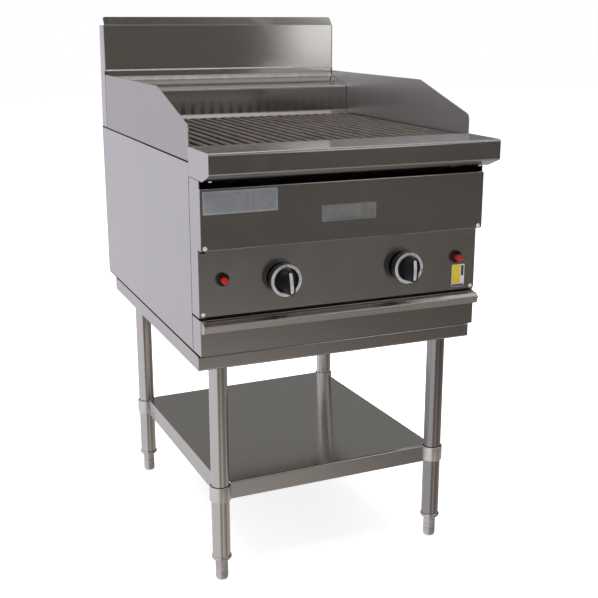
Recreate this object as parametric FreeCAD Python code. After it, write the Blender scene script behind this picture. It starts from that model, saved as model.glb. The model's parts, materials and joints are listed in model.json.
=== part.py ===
import FreeCAD, Part
import math
import os

os.makedirs("parts", exist_ok=True)

# Charbroiler grill on an open stand. Millimetres, +Z up, -Y is the front, origin on the floor
# under the middle of the overall box.

# Sheet metal
SHEET = 1.5
BEND_INNER = 2.0
HALF_WIDTH = 305.0
FIT_GAP = 0.2

# Stand
LEG_X = 252.0
LEG_FRONT_Y = -296.0
LEG_BACK_Y = 304.0
LEG_RADIUS = 19.05
LEG_WALL = 1.5
LEG_BOTTOM_Z = 57.0
RAIL_FRONT_Y = -340.0
RAIL_BACK_Y = 361.0
RAIL_BOTTOM_Z = 485.0
RAIL_TOP_Z = 515.0
RAIL_FLANGE = 80.0
RAIL_LIP = 12.0
SOCKET_RADIUS = 23.0
SLEEVE_CLEARANCE = 0.05

# Adjustable feet
FOOT_FLANGE_RADIUS = 21.5
FOOT_FLANGE_BOTTOM_Z = 48.0
FOOT_PLUG_RADIUS = 17.5
FOOT_PLUG_TOP_Z = 95.0
FOOT_STEM_RADIUS = 13.5
FOOT_STEM_TOP_Z = 85.0
FOOT_RUNNING_CLEARANCE = 0.06
FOOT_TOE_RADIUS = 4.0

# Undershelf, clamped to the legs a little lower at the back and on the left
SHELF_CENTRE_Y = 4.0
SHELF_LENGTH = 602.0
SHELF_TOP_Z = 212.0
SHELF_FLANGE = 38.0
SHELF_FALL_ANGLE = 1.77
SHELF_SIDE_ANGLE = 0.74
COLLAR_RADIUS = 22.5
COLLAR_HEIGHT = 33.0
COLLAR_DROP = 2.0
COLLAR_NOTCH_CLEARANCE = 0.1

# Body housing
BODY_FRONT_Y = -306.0
BODY_BACK_Y = 431.0
BODY_BOTTOM_Z = 518.0
BODY_TOP_Z = 889.5
PANEL_RETURN = 8.0

# Front housing
PANEL_Y = -354.0
PANEL_BOTTOM_Z = 598.0
PANEL_TOP_Z = 745.0
UPPER_Y = -374.4
UPPER_HALF_WIDTH = 306.0
UPPER_BOTTOM_Z = 731.0
UPPER_TOP_Z = 849.0
CHEEK_UPPER_Y = -369.0
CHEEK_TOP_Z = 863.5
CHEEK_BOTTOM_Z = 596.0

# Landing ledge
LEDGE_FRONT_Y = -431.0
LEDGE_TOP_Z = 920.5
LEDGE_FACE_BOTTOM_Z = 880.0
LEDGE_CHAMFER_Y = -391.0
LEDGE_CHAMFER_Z = 864.5
LEDGE_LIP_Y = -375.0
LEDGE_BACK_LIP_Z = 895.0
LEDGE_BEND = 3.5

# Rear flue
SPLASH_Y = 376.6
SPLASH_BOTTOM_Z = 1028.0
SPLASH_TOP_Z = 1137.0
SPLASH_BACK_TOP_Y = 411.0
SPLASH_BACK_BOTTOM_Y = 427.0
FLANGE_TOP_Y = 391.5
FLANGE_TOP_Z = 1155.5
FLANGE_END_INSET = 4.0
FLANGE_CORNER_RADIUS = 6.0
FLUE_BASE_Z = 893.0
RISER_BACK_Y = 378.4
RISER_HIDDEN_TOP_Z = 1045.0
RISER_BEND_Z = 1008.0
RISER_EDGE_Y = 282.0
RISER_EDGE_Z = 986.0
RISER_FACE_BOTTOM_Z = 925.0
RISER_FOOT_Y = 273.0
RISER_FOOT_Z = 916.0

# Side splashes
SIDE_SPLASH_T = 2.0
SIDE_SPLASH_BACK_Y = 374.0
SIDE_SPLASH_FRONT_Y = -311.0
SIDE_SPLASH_KNEE_Y = -101.0
SIDE_SPLASH_TOP_Z = 1020.0
SIDE_SPLASH_FRONT_Z = 959.0
SIDE_SPLASH_FOOT = 8.0

# Firebox and grates
LINER_X = 290.0
LINER_FRONT_Y = -300.0
LINER_BACK_Y = 262.0
LINER_BOTTOM_Z = 600.0
LINER_FLANGE = 6.5
REST_TOP_Z = 899.0
REST_HEIGHT = 4.0
REST_WIDTH = 18.0
GRATE_COUNT = 4
GRATE_SPAN = 594.0
GRATE_GAP = 0.6
GRATE_FRONT_Y = -303.5
GRATE_BACK_Y = 270.0
GRATE_TOP_Z = 918.0
BARS_PER_GRATE = 6
BAR_TOP_WIDTH = 13.0
BAR_FOOT_WIDTH = 8.0
TIE_WIDTH = 8.0
TIE_HEIGHT = 5.0
RADIANT_WIDTH = 110.0
RADIANT_BASE_Z = 742.0
RADIANT_TOP_Z = 787.0
RADIANT_FRONT_Y = -270.0
RADIANT_BACK_Y = 236.0
RADIANT_T = 4.0
RACK_RADIUS = 5.0
BURNER_RADIUS = 15.0
BURNER_SPREAD = 58.0
BURNER_FRONT_Y = -250.0
BURNER_BACK_Y = 225.0
VENTURI_RADIUS = 12.0
VENTURI_MOUTH_Y = -309.0

# Gas train and controls
KNOB_X = 134.5
KNOB_Z = 661.0
MANIFOLD_Y = -325.0
MANIFOLD_Z = 620.0
MANIFOLD_HALF = 272.0
PIPE_RADIUS = 10.65
INLET_X = -262.0
INLET_Z = 584.0
ELBOW_HALF = 12.5
COUPLING_RADIUS = 17.0
COUPLING_LENGTH = 32.0
INLET_BORE_RADIUS = 13.2
INLET_BORE_DEPTH = 18.0
VALVE_HALF = 13.0
VALVE_FRONT_Y = -348.0
VALVE_BACK_Y = -316.0
SPINDLE_RADIUS = 4.0
SPINDLE_CLEARANCE = 0.06
SPINDLE_ROOT_Y = -337.0
SPINDLE_TIP_Y = -392.0
SPINDLE_HOLE = 6.0
SKIRT_RADIUS = 31.0
SKIRT_FRONT_RADIUS = 33.2
SKIRT_BACK_Y = -358.6
SKIRT_FRONT_Y = -377.0
DIAL_RADIUS = 32.2
DIAL_INNER_RADIUS = 25.6
DIAL_T = 2.0
HUB_RADIUS = 24.0
HUB_FRONT_Y = -388.0
GRIP_WIDTH = 15.0
GRIP_HEIGHT = 48.0
GRIP_FRONT_Y = -404.5
POINTER_WIDTH = 7.0
POINTER_HEIGHT = 42.0
POINTER_T = 1.2
IGNITER_X = 257.5
IGNITER_Z = 670.0
IGNITER_BEZEL_RADIUS = 13.4
IGNITER_BEZEL_FRONT_Y = -360.5
IGNITER_BARREL_RADIUS = 10.0
IGNITER_BARREL_BACK_Y = -318.0
BUTTON_RADIUS = 6.8
BUTTON_CLEARANCE = 0.08
BUTTON_FRONT_Y = -374.5
BUTTON_ROOT_Y = -340.0

# Plates and screws
BADGE_HALF = 58.5
BADGE_BOTTOM_Z = 771.0
BADGE_TOP_Z = 803.5
BADGE_T = 3.0
NOTICE_LEFT_X = -300.0
NOTICE_RIGHT_X = -150.5
NOTICE_BOTTOM_Z = 800.0
NOTICE_TOP_Z = 844.0
NOTICE_T = 0.5
STICKER_LEFT_X = 250.6
STICKER_RIGHT_X = 281.0
STICKER_BOTTOM_Z = 604.0
STICKER_TOP_Z = 652.0
STICKER_T = 0.4
SCREW_RADIUS = 4.2
SCREW_HEAD = 2.4
SCREW_X = 297.0
UPPER_SCREW_Z = 737.0
PANEL_SCREW_Z = 603.0
LEDGE_SCREW_X = 288.0
LEDGE_SCREW_Y = -384.0

# Grease drawer
DRAWER_Y = -356.4
DRAWER_BACK_Y = -308.0
DRAWER_BOTTOM_Z = 520.0
DRAWER_TOP_Z = 592.0
DRAWER_RETURN = 10.0
LIP_HALF = 303.0
LIP_NOSE_Y = -378.4
LIP_NOSE_Z = 584.5
LIP_UNDER_Y = -374.0
LIP_UNDER_Z = 569.5
LIP_ROOT_Z = 565.5
TRAY_HALF = 282.0
TRAY_BACK_Y = 395.0
TRAY_BOTTOM_Z = 524.2
TRAY_TOP_Z = 566.0
RUNNER_INNER_X = 262.0
RUNNER_BOTTOM_Z = 520.0
RUNNER_TOP_Z = 524.0

X_AXIS = FreeCAD.Vector(1, 0, 0)
Y_AXIS = FreeCAD.Vector(0, 1, 0)
Z_AXIS = FreeCAD.Vector(0, 0, 1)


def vec(x, y, z):
    return FreeCAD.Vector(x, y, z)


def box(x_range, y_range, z_range):
    size = [high - low for low, high in (x_range, y_range, z_range)]
    corner = vec(x_range[0], y_range[0], z_range[0])
    return Part.makeBox(size[0], size[1], size[2], corner)


def cylinder(radius, start, axis, length):
    return Part.makeCylinder(radius, length, start, axis)


def ring(outer, inner, start, axis, length):
    return cylinder(outer, start, axis, length).cut(cylinder(inner, start, axis, length))


def fused(shapes):
    shape = shapes[0]
    for other in shapes[1:]:
        shape = shape.fuse(other)
    return shape.removeSplitter()


def grouped(shapes):
    return Part.makeCompound(shapes)


def mirrored(shape):
    return shape.mirror(vec(0, 0, 0), X_AXIS)


def prism(points, extrusion):
    wire = Part.makePolygon(points + [points[0]])
    return Part.Face(wire).extrude(extrusion)


def unit(a, b):
    length = math.hypot(b[0] - a[0], b[1] - a[1])
    return ((b[0] - a[0]) / length, (b[1] - a[1]) / length)


def offset_line(points, distance):
    """Mitred copy of an open line, moved to its left by distance."""
    result = []
    last = len(points) - 1
    for i, point in enumerate(points):
        before = unit(points[i - 1], point) if i > 0 else unit(point, points[i + 1])
        after = unit(point, points[i + 1]) if i < last else before
        normal_a = (-before[1], before[0])
        normal_b = (-after[1], after[0])
        scale = distance / (1 + normal_a[0] * normal_b[0] + normal_a[1] * normal_b[1])
        shift_u = (normal_a[0] + normal_b[0]) * scale
        shift_v = (normal_a[1] + normal_b[1]) * scale
        result.append((point[0] + shift_u, point[1] + shift_v))
    return result


def bend_edges(points, radii, place):
    """Edges along an open line, each inner corner replaced by a tangent arc."""
    edges = []
    start = points[0]
    for i in range(1, len(points) - 1):
        before = unit(points[i - 1], points[i])
        after = unit(points[i], points[i + 1])
        turn = math.acos(max(-1.0, min(1.0, before[0] * after[0] + before[1] * after[1])))
        radius = radii[i - 1]
        back = radius * math.tan(turn / 2)
        enter = (points[i][0] - before[0] * back, points[i][1] - before[1] * back)
        leave = (points[i][0] + after[0] * back, points[i][1] + after[1] * back)
        inward = unit((0, 0), (after[0] - before[0], after[1] - before[1]))
        reach = radius * (1 / math.cos(turn / 2) - 1)
        middle = (points[i][0] + inward[0] * reach, points[i][1] + inward[1] * reach)
        edges.append(Part.LineSegment(place(start), place(enter)).toShape())
        edges.append(Part.Arc(place(enter), place(middle), place(leave)).toShape())
        start = leave
    edges.append(Part.LineSegment(place(start), place(points[-1])).toShape())
    return edges


def folded(points, thickness, inner, place, extrusion):
    """Sheet folded along a line. The line is the face on the sheet's left, at the outside."""
    middle = offset_line(points, -thickness / 2)
    left_radii = []
    right_radii = []
    for i in range(1, len(points) - 1):
        before = unit(points[i - 1], points[i])
        after = unit(points[i], points[i + 1])
        turns_left = before[0] * after[1] - before[1] * after[0] > 0
        left_radii.append(inner if turns_left else inner + thickness)
        right_radii.append(inner + thickness if turns_left else inner)
    left = offset_line(middle, thickness / 2)
    right = offset_line(middle, -thickness / 2)
    left_edges = bend_edges(left, left_radii, place)
    right_edges = bend_edges(right, right_radii, place)
    end_cap = Part.LineSegment(place(left[-1]), place(right[-1])).toShape()
    start_cap = Part.LineSegment(place(right[0]), place(left[0])).toShape()
    edges = left_edges + [end_cap] + list(reversed(right_edges)) + [start_cap]
    wire = Part.Wire(Part.__sortEdges__(edges))
    return Part.Face(wire).extrude(extrusion)


def in_yz(x):
    return lambda point: vec(x, point[0], point[1])


def in_xy(z):
    return lambda point: vec(point[0], point[1], z)


def fillet_where(shape, radius, keep):
    edges = [edge for edge in shape.Edges if keep(edge)]
    return shape.makeFillet(radius, edges)


def along(edge, axis):
    if len(edge.Vertexes) != 2:
        return False
    direction = edge.Vertexes[1].Point.sub(edge.Vertexes[0].Point)
    return direction.Length > 0 and direction.normalize().cross(axis).Length < 0.001


def plate_xz(x_range, z_range, y_front, thickness, corner):
    shape = box(x_range, (y_front, y_front + thickness), z_range)
    return fillet_where(shape, corner, lambda edge: along(edge, Y_AXIS))


def leg_positions():
    return [
        ("front_left", -LEG_X, LEG_FRONT_Y),
        ("front_right", LEG_X, LEG_FRONT_Y),
        ("back_left", -LEG_X, LEG_BACK_Y),
        ("back_right", LEG_X, LEG_BACK_Y),
    ]


def shelf_height(x, y):
    rise = x * math.tan(math.radians(SHELF_SIDE_ANGLE))
    fall = (y - SHELF_CENTRE_Y) * math.tan(math.radians(SHELF_FALL_ANGLE))
    return SHELF_TOP_Z + rise - fall


# Stand

def cross_rail(y_web, inward):
    """Full-width channel: web outside, wide flange on top, short lip below."""
    points = [
        (y_web + inward * RAIL_LIP, RAIL_BOTTOM_Z),
        (y_web, RAIL_BOTTOM_Z),
        (y_web, RAIL_TOP_Z),
        (y_web + inward * RAIL_FLANGE, RAIL_TOP_Z),
    ]
    if inward < 0:
        points.reverse()
    return folded(points, SHEET, BEND_INNER, in_yz(-HALF_WIDTH), vec(2 * HALF_WIDTH, 0, 0))


def side_rail():
    """Right-hand channel, cut to pass under the ends of the two cross rails."""
    web_y = (RAIL_FRONT_Y + SHEET, RAIL_BACK_Y - SHEET)
    web = box((HALF_WIDTH - SHEET, HALF_WIDTH), web_y, (RAIL_BOTTOM_Z + SHEET, RAIL_TOP_Z - SHEET))
    flange_y = (RAIL_FRONT_Y + RAIL_FLANGE, RAIL_BACK_Y - RAIL_FLANGE)
    flange_z = (RAIL_TOP_Z - SHEET, RAIL_TOP_Z)
    flange = box((HALF_WIDTH - RAIL_FLANGE, HALF_WIDTH), flange_y, flange_z)
    lip_y = (RAIL_FRONT_Y + RAIL_LIP, RAIL_BACK_Y - RAIL_LIP)
    lip_z = (RAIL_BOTTOM_Z, RAIL_BOTTOM_Z + SHEET)
    lip = box((HALF_WIDTH - RAIL_LIP, HALF_WIDTH), lip_y, lip_z)
    shape = fused([web, flange, lip])
    bend = SHEET + BEND_INNER
    for y_range in ((RAIL_FRONT_Y, RAIL_FRONT_Y + bend), (RAIL_BACK_Y - bend, RAIL_BACK_Y)):
        for z_range in ((RAIL_BOTTOM_Z, RAIL_BOTTOM_Z + bend), (RAIL_TOP_Z - bend, RAIL_TOP_Z)):
            shape = shape.cut(box((0, HALF_WIDTH + 1), y_range, z_range))
    return shape


def leg_sockets():
    bottom = RAIL_BOTTOM_Z + SHEET + 1.0
    top = RAIL_TOP_Z - SHEET
    inner = LEG_RADIUS + SLEEVE_CLEARANCE
    rings = []
    for name, x, y in leg_positions():
        rings.append(ring(SOCKET_RADIUS, inner, vec(x, y, bottom), Z_AXIS, top - bottom))
    return grouped(rings)


def leg(x, y):
    length = RAIL_TOP_Z - SHEET - LEG_BOTTOM_Z
    return ring(LEG_RADIUS, LEG_RADIUS - LEG_WALL, vec(x, y, LEG_BOTTOM_Z), Z_AXIS, length)


def foot_insert(x, y):
    flange_height = LEG_BOTTOM_Z - FOOT_FLANGE_BOTTOM_Z
    flange = cylinder(FOOT_FLANGE_RADIUS, vec(x, y, FOOT_FLANGE_BOTTOM_Z), Z_AXIS, flange_height)
    flange = flange.makeFillet(2.5, flange.Edges[:1])
    plug_height = FOOT_PLUG_TOP_Z - LEG_BOTTOM_Z
    plug = cylinder(FOOT_PLUG_RADIUS, vec(x, y, LEG_BOTTOM_Z), Z_AXIS, plug_height)
    bore_radius = FOOT_STEM_RADIUS + FOOT_RUNNING_CLEARANCE
    bore_height = FOOT_PLUG_TOP_Z - FOOT_FLANGE_BOTTOM_Z
    bore = cylinder(bore_radius, vec(x, y, FOOT_FLANGE_BOTTOM_Z), Z_AXIS, bore_height)
    return fused([flange, plug]).cut(bore)


def foot_stem(x, y):
    stem = cylinder(FOOT_STEM_RADIUS, vec(x, y, 0), Z_AXIS, FOOT_STEM_TOP_Z)
    is_toe = lambda edge: abs(edge.CenterOfMass.z) < 0.001
    return fillet_where(stem, FOOT_TOE_RADIUS, is_toe)


def undershelf():
    """Folded tray, open below, with its corners notched round the leg collars."""
    half = SHELF_LENGTH / 2
    outer = box((-LEG_X, LEG_X), (-half, half), (-SHELF_FLANGE, 0))
    outer = fillet_where(outer, BEND_INNER + SHEET, lambda e: abs(e.CenterOfMass.z) < 0.001)
    inner_x = LEG_X - SHEET
    inner_y = half - SHEET
    inner = box((-inner_x, inner_x), (-inner_y, inner_y), (-SHELF_FLANGE - 1, -SHEET))
    inner = fillet_where(inner, BEND_INNER, lambda e: abs(e.CenterOfMass.z + SHEET) < 0.001)
    tray = outer.cut(inner)
    tray.rotate(vec(0, 0, 0), Y_AXIS, -SHELF_SIDE_ANGLE)
    tray.rotate(vec(0, 0, 0), X_AXIS, -SHELF_FALL_ANGLE)
    tray.translate(vec(0, SHELF_CENTRE_Y, SHELF_TOP_Z))
    notch_radius = COLLAR_RADIUS + COLLAR_NOTCH_CLEARANCE
    for name, x, y in leg_positions():
        tray = tray.cut(cylinder(notch_radius, vec(x, y, 100), Z_AXIS, 200))
    return tray


def shelf_collars():
    inner = LEG_RADIUS + SLEEVE_CLEARANCE
    collars = []
    for name, x, y in leg_positions():
        base_z = shelf_height(x, y) - COLLAR_DROP - COLLAR_HEIGHT
        collars.append(ring(COLLAR_RADIUS, inner, vec(x, y, base_z), Z_AXIS, COLLAR_HEIGHT))
    return grouped(collars)


# Body panels

def side_panel():
    """Right-hand outer skin with a shallow return all round."""
    x_range = (HALF_WIDTH - PANEL_RETURN, HALF_WIDTH)
    outer = box(x_range, (BODY_FRONT_Y, BODY_BACK_Y - SHEET), (BODY_BOTTOM_Z, BODY_TOP_Z))
    on_skin = lambda edge: abs(edge.CenterOfMass.x - HALF_WIDTH) < 0.001
    outer = fillet_where(outer, BEND_INNER, on_skin)
    inner_y = (BODY_FRONT_Y + SHEET, BODY_BACK_Y - 2 * SHEET)
    inner_z = (BODY_BOTTOM_Z + SHEET, BODY_TOP_Z - SHEET)
    inner = box((HALF_WIDTH - PANEL_RETURN - 1, HALF_WIDTH - SHEET), inner_y, inner_z)
    return outer.cut(inner)


def back_panel():
    x_range = (-HALF_WIDTH, HALF_WIDTH)
    panel = box(x_range, (BODY_BACK_Y - SHEET, BODY_BACK_Y), (BODY_BOTTOM_Z, FLUE_BASE_Z))
    hole = cylinder(COUPLING_RADIUS + 0.6, vec(INLET_X, BODY_BACK_Y - 10, INLET_Z), Y_AXIS, 20)
    shape = panel.cut(hole)
    for row in range(4):
        slot_z = 780.0 + 22.0 * row
        for x in (-150.0, 0.0, 150.0):
            slot = box((x - 50, x + 50), (BODY_BACK_Y - 10, BODY_BACK_Y + 10), (slot_z, slot_z + 7))
            slot = fillet_where(slot, 3.4, lambda edge: along(edge, Y_AXIS))
            shape = shape.cut(slot)
    return shape


def cheek():
    """Right-hand end of the front housing, stepped back below the upper panel."""
    skin_x = HALF_WIDTH - SHEET
    back = BODY_FRONT_Y - SHEET
    front = PANEL_Y + SHEET
    outline = [
        vec(skin_x, back, CHEEK_BOTTOM_Z),
        vec(skin_x, front, CHEEK_BOTTOM_Z),
        vec(skin_x, front, UPPER_BOTTOM_Z),
        vec(skin_x, CHEEK_UPPER_Y, UPPER_BOTTOM_Z),
        vec(skin_x, CHEEK_UPPER_Y, CHEEK_TOP_Z),
        vec(skin_x, back, CHEEK_TOP_Z),
    ]
    skin = prism(outline, vec(SHEET, 0, 0))
    return_x = (HALF_WIDTH - RAIL_LIP, HALF_WIDTH)
    lower = box(return_x, (front, front + SHEET), (CHEEK_BOTTOM_Z, UPPER_BOTTOM_Z))
    upper_z = (UPPER_BOTTOM_Z + 2, UPPER_TOP_Z)
    upper = box(return_x, (CHEEK_UPPER_Y, CHEEK_UPPER_Y + SHEET), upper_z)
    return fused([skin, lower, upper])


def control_panel():
    visible = plate_xz(
        (-HALF_WIDTH, HALF_WIDTH), (PANEL_BOTTOM_Z, UPPER_BOTTOM_Z - 0.5), PANEL_Y, SHEET, 5.0)
    hidden_x = HALF_WIDTH - RAIL_LIP - 1
    hidden_z = (UPPER_BOTTOM_Z - 20, PANEL_TOP_Z)
    hidden = box((-hidden_x, hidden_x), (PANEL_Y, PANEL_Y + SHEET), hidden_z)
    return_z = (PANEL_BOTTOM_Z, PANEL_BOTTOM_Z + SHEET)
    foot = box((-hidden_x, hidden_x), (PANEL_Y, PANEL_Y + RAIL_LIP), return_z)
    shape = fused([visible, hidden, foot])
    for side in (-1, 1):
        spindle_start = vec(side * KNOB_X, PANEL_Y - 5, KNOB_Z)
        shape = shape.cut(cylinder(SPINDLE_HOLE, spindle_start, Y_AXIS, 10))
        igniter_start = vec(side * IGNITER_X, PANEL_Y - 5, IGNITER_Z)
        shape = shape.cut(cylinder(IGNITER_BARREL_RADIUS + 0.1, igniter_start, Y_AXIS, 10))
    return shape


def upper_front_panel():
    """Raised front panel with returns on all four sides."""
    x_range = (-UPPER_HALF_WIDTH, UPPER_HALF_WIDTH)
    depth = (UPPER_Y, CHEEK_UPPER_Y - FIT_GAP)
    z_range = (UPPER_BOTTOM_Z, UPPER_TOP_Z)
    outer = box(x_range, depth, z_range)
    outer = fillet_where(outer, 4.0, lambda edge: along(edge, Y_AXIS))
    on_face = lambda edge: abs(edge.CenterOfMass.y - UPPER_Y) < 0.001
    outer = fillet_where(outer, 1.8, on_face)
    inner_x = UPPER_HALF_WIDTH - SHEET
    inner_z = (UPPER_BOTTOM_Z + SHEET, UPPER_TOP_Z - SHEET)
    inner = box((-inner_x, inner_x), (UPPER_Y + SHEET, CHEEK_UPPER_Y), inner_z)
    rim = outer.cut(inner)
    return_x = (-HALF_WIDTH + RAIL_LIP + 1, HALF_WIDTH - RAIL_LIP - 1)
    top_z = (UPPER_TOP_Z - SHEET, UPPER_TOP_Z)
    top = box(return_x, (UPPER_Y + 4, UPPER_Y + 16), top_z)
    bottom_z = (UPPER_BOTTOM_Z, UPPER_BOTTOM_Z + SHEET)
    bottom = box(return_x, (UPPER_Y + 4, PANEL_Y), bottom_z)
    return fused([rim, top, bottom])


def landing_ledge():
    """Folded front ledge with a chamfered underside and closed ends."""
    line = [
        (BODY_FRONT_Y, LEDGE_BACK_LIP_Z),
        (BODY_FRONT_Y, LEDGE_TOP_Z),
        (LEDGE_FRONT_Y, LEDGE_TOP_Z),
        (LEDGE_FRONT_Y, LEDGE_FACE_BOTTOM_Z),
        (LEDGE_CHAMFER_Y, LEDGE_CHAMFER_Z),
        (LEDGE_LIP_Y, LEDGE_CHAMFER_Z),
    ]
    line.reverse()
    sheet = folded(line, SHEET, LEDGE_BEND, in_yz(-HALF_WIDTH), vec(2 * HALF_WIDTH, 0, 0))
    ends = []
    for x in (-HALF_WIDTH, HALF_WIDTH - SHEET):
        outline = [
            vec(x, BODY_FRONT_Y - SHEET, LEDGE_CHAMFER_Z),
            vec(x, BODY_FRONT_Y - SHEET, LEDGE_TOP_Z - SHEET),
            vec(x, LEDGE_FRONT_Y + SHEET, LEDGE_TOP_Z - SHEET),
            vec(x, LEDGE_FRONT_Y + SHEET, LEDGE_FACE_BOTTOM_Z + 1),
            vec(x, LEDGE_CHAMFER_Y, LEDGE_CHAMFER_Z + 1),
            vec(x, LEDGE_CHAMFER_Y, LEDGE_CHAMFER_Z),
        ]
        end = prism(outline, vec(SHEET, 0, 0))
        is_front_top = lambda edge: (
            along(edge, X_AXIS)
            and abs(edge.CenterOfMass.y - LEDGE_FRONT_Y - SHEET) < 0.01
            and abs(edge.CenterOfMass.z - LEDGE_TOP_Z + SHEET) < 0.01
        )
        ends.append(fillet_where(end, LEDGE_BEND, is_front_top))
    return fused([sheet] + ends)


def splashback():
    """Splash face with side returns and a flange leaning back along the top."""
    return_end = SPLASH_BACK_TOP_Y
    plan = [
        (-HALF_WIDTH, return_end),
        (-HALF_WIDTH, SPLASH_Y),
        (HALF_WIDTH, SPLASH_Y),
        (HALF_WIDTH, return_end),
    ]
    plan.reverse()
    height = SPLASH_TOP_Z - SPLASH_BOTTOM_Z
    wrap = folded(plan, SHEET, BEND_INNER, in_xy(SPLASH_BOTTOM_Z), vec(0, 0, height))
    sides = []
    for x in (-HALF_WIDTH, HALF_WIDTH - SHEET):
        outline = [
            vec(x, SPLASH_Y + 3.5, FLUE_BASE_Z),
            vec(x, SPLASH_BACK_BOTTOM_Y, FLUE_BASE_Z),
            vec(x, SPLASH_BACK_TOP_Y, SPLASH_TOP_Z),
            vec(x, SPLASH_Y + 3.5, SPLASH_TOP_Z),
        ]
        sides.append(prism(outline, vec(SHEET, 0, 0)))
        strip = box((x, x + SHEET), (SPLASH_Y + 0.4, SPLASH_Y + 4), (FLUE_BASE_Z, SPLASH_BOTTOM_Z))
        sides.append(strip)
    flange_line = [(SPLASH_Y, SPLASH_TOP_Z - 6), (SPLASH_Y, SPLASH_TOP_Z), (FLANGE_TOP_Y, FLANGE_TOP_Z)]
    flange_half = HALF_WIDTH - FLANGE_END_INSET
    flange_line.reverse()
    flange = folded(
        flange_line, SHEET, BEND_INNER, in_yz(-flange_half), vec(2 * flange_half, 0, 0))
    is_top_corner = lambda edge: (
        abs(abs(edge.CenterOfMass.x) - flange_half) < 0.001
        and edge.CenterOfMass.z > FLANGE_TOP_Z - 2 * SHEET
        and edge.Length < SHEET + 0.01
    )
    flange = fillet_where(flange, FLANGE_CORNER_RADIUS, is_top_corner)
    hem_z = (SPLASH_BOTTOM_Z, SPLASH_BOTTOM_Z + 2.0)
    hem_half = HALF_WIDTH - 4.0
    hem = box((-hem_half, hem_half), (SPLASH_Y - 1.0, SPLASH_Y + SHEET), hem_z)
    hem = fillet_where(hem, 0.9, lambda e: along(e, X_AXIS) and e.CenterOfMass.y < SPLASH_Y)
    return fused([wrap, flange, hem] + sides)


def flue_back():
    half = HALF_WIDTH - SHEET - FIT_GAP
    outline = [
        vec(-half, SPLASH_BACK_BOTTOM_Y - SHEET, FLUE_BASE_Z),
        vec(-half, SPLASH_BACK_BOTTOM_Y, FLUE_BASE_Z),
        vec(-half, SPLASH_BACK_TOP_Y, SPLASH_TOP_Z),
        vec(-half, SPLASH_BACK_TOP_Y - SHEET, SPLASH_TOP_Z),
    ]
    return prism(outline, vec(2 * half, 0, 0))


def flue_riser():
    """Sloping flue cap with a hidden upstand, a drop face and a turned-out foot."""
    line = [
        (RISER_BACK_Y, RISER_HIDDEN_TOP_Z),
        (RISER_BACK_Y, RISER_BEND_Z),
        (RISER_EDGE_Y, RISER_EDGE_Z),
        (RISER_EDGE_Y, RISER_FACE_BOTTOM_Z),
        (RISER_FOOT_Y, RISER_FOOT_Z),
    ]
    line.reverse()
    half = HALF_WIDTH - SHEET - BEND_INNER - FIT_GAP
    return folded(line, SHEET, LEDGE_BEND, in_yz(-half), vec(2 * half, 0, 0))


def side_splash():
    """Right-hand cooking-area guard, sloped down at the front, with an inward foot."""
    x = HALF_WIDTH - SIDE_SPLASH_T
    outline = [
        vec(x, SIDE_SPLASH_BACK_Y, FLUE_BASE_Z),
        vec(x, SIDE_SPLASH_BACK_Y, SIDE_SPLASH_TOP_Z),
        vec(x, SIDE_SPLASH_KNEE_Y, SIDE_SPLASH_TOP_Z),
        vec(x, SIDE_SPLASH_FRONT_Y, SIDE_SPLASH_FRONT_Z),
        vec(x, SIDE_SPLASH_FRONT_Y, LEDGE_TOP_Z),
        vec(x, BODY_FRONT_Y + FIT_GAP, LEDGE_TOP_Z),
        vec(x, BODY_FRONT_Y + FIT_GAP, FLUE_BASE_Z),
    ]
    sheet = prism(outline, vec(SIDE_SPLASH_T, 0, 0))
    knee = lambda e: along(e, X_AXIS) and abs(e.CenterOfMass.y - SIDE_SPLASH_KNEE_Y) < 0.01
    nose = lambda e: along(e, X_AXIS) and abs(e.CenterOfMass.z - SIDE_SPLASH_FRONT_Z) < 0.01
    sheet = fillet_where(sheet, 30.0, knee)
    sheet = fillet_where(sheet, 12.0, nose)
    foot_x = (HALF_WIDTH - SIDE_SPLASH_FOOT, HALF_WIDTH)
    foot_y = (BODY_FRONT_Y + 4, LINER_BACK_Y)
    foot = box(foot_x, foot_y, (FLUE_BASE_Z, FLUE_BASE_Z + SHEET))
    skirt_x = (foot_x[0], foot_x[0] + SHEET)
    skirt = box(skirt_x, foot_y, (BODY_TOP_Z, FLUE_BASE_Z))
    return fused([sheet, foot, skirt])


# Firebox, grates and burners

def firebox_side():
    skin = box((LINER_X, LINER_X + SHEET), (LINER_FRONT_Y, LINER_BACK_Y), (LINER_BOTTOM_Z, FLUE_BASE_Z))
    flange_z = (FLUE_BASE_Z - SHEET, FLUE_BASE_Z)
    flange = box((LINER_X, LINER_X + LINER_FLANGE), (LINER_FRONT_Y, LINER_BACK_Y), flange_z)
    return fused([skin, flange])


def firebox_ends():
    half = LINER_X - FIT_GAP
    z_range = (LINER_BOTTOM_Z, FLUE_BASE_Z - SHEET - 1)
    front = box((-half, half), (LINER_FRONT_Y, LINER_FRONT_Y + SHEET), z_range)
    for side in (-1, 1):
        start = vec(side * KNOB_X, LINER_FRONT_Y - 5, KNOB_Z)
        front = front.cut(cylinder(VENTURI_RADIUS + 4, start, Y_AXIS, 10))
    back = box((-half, half), (LINER_BACK_Y - SHEET, LINER_BACK_Y), z_range)
    return grouped([front, back])


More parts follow.
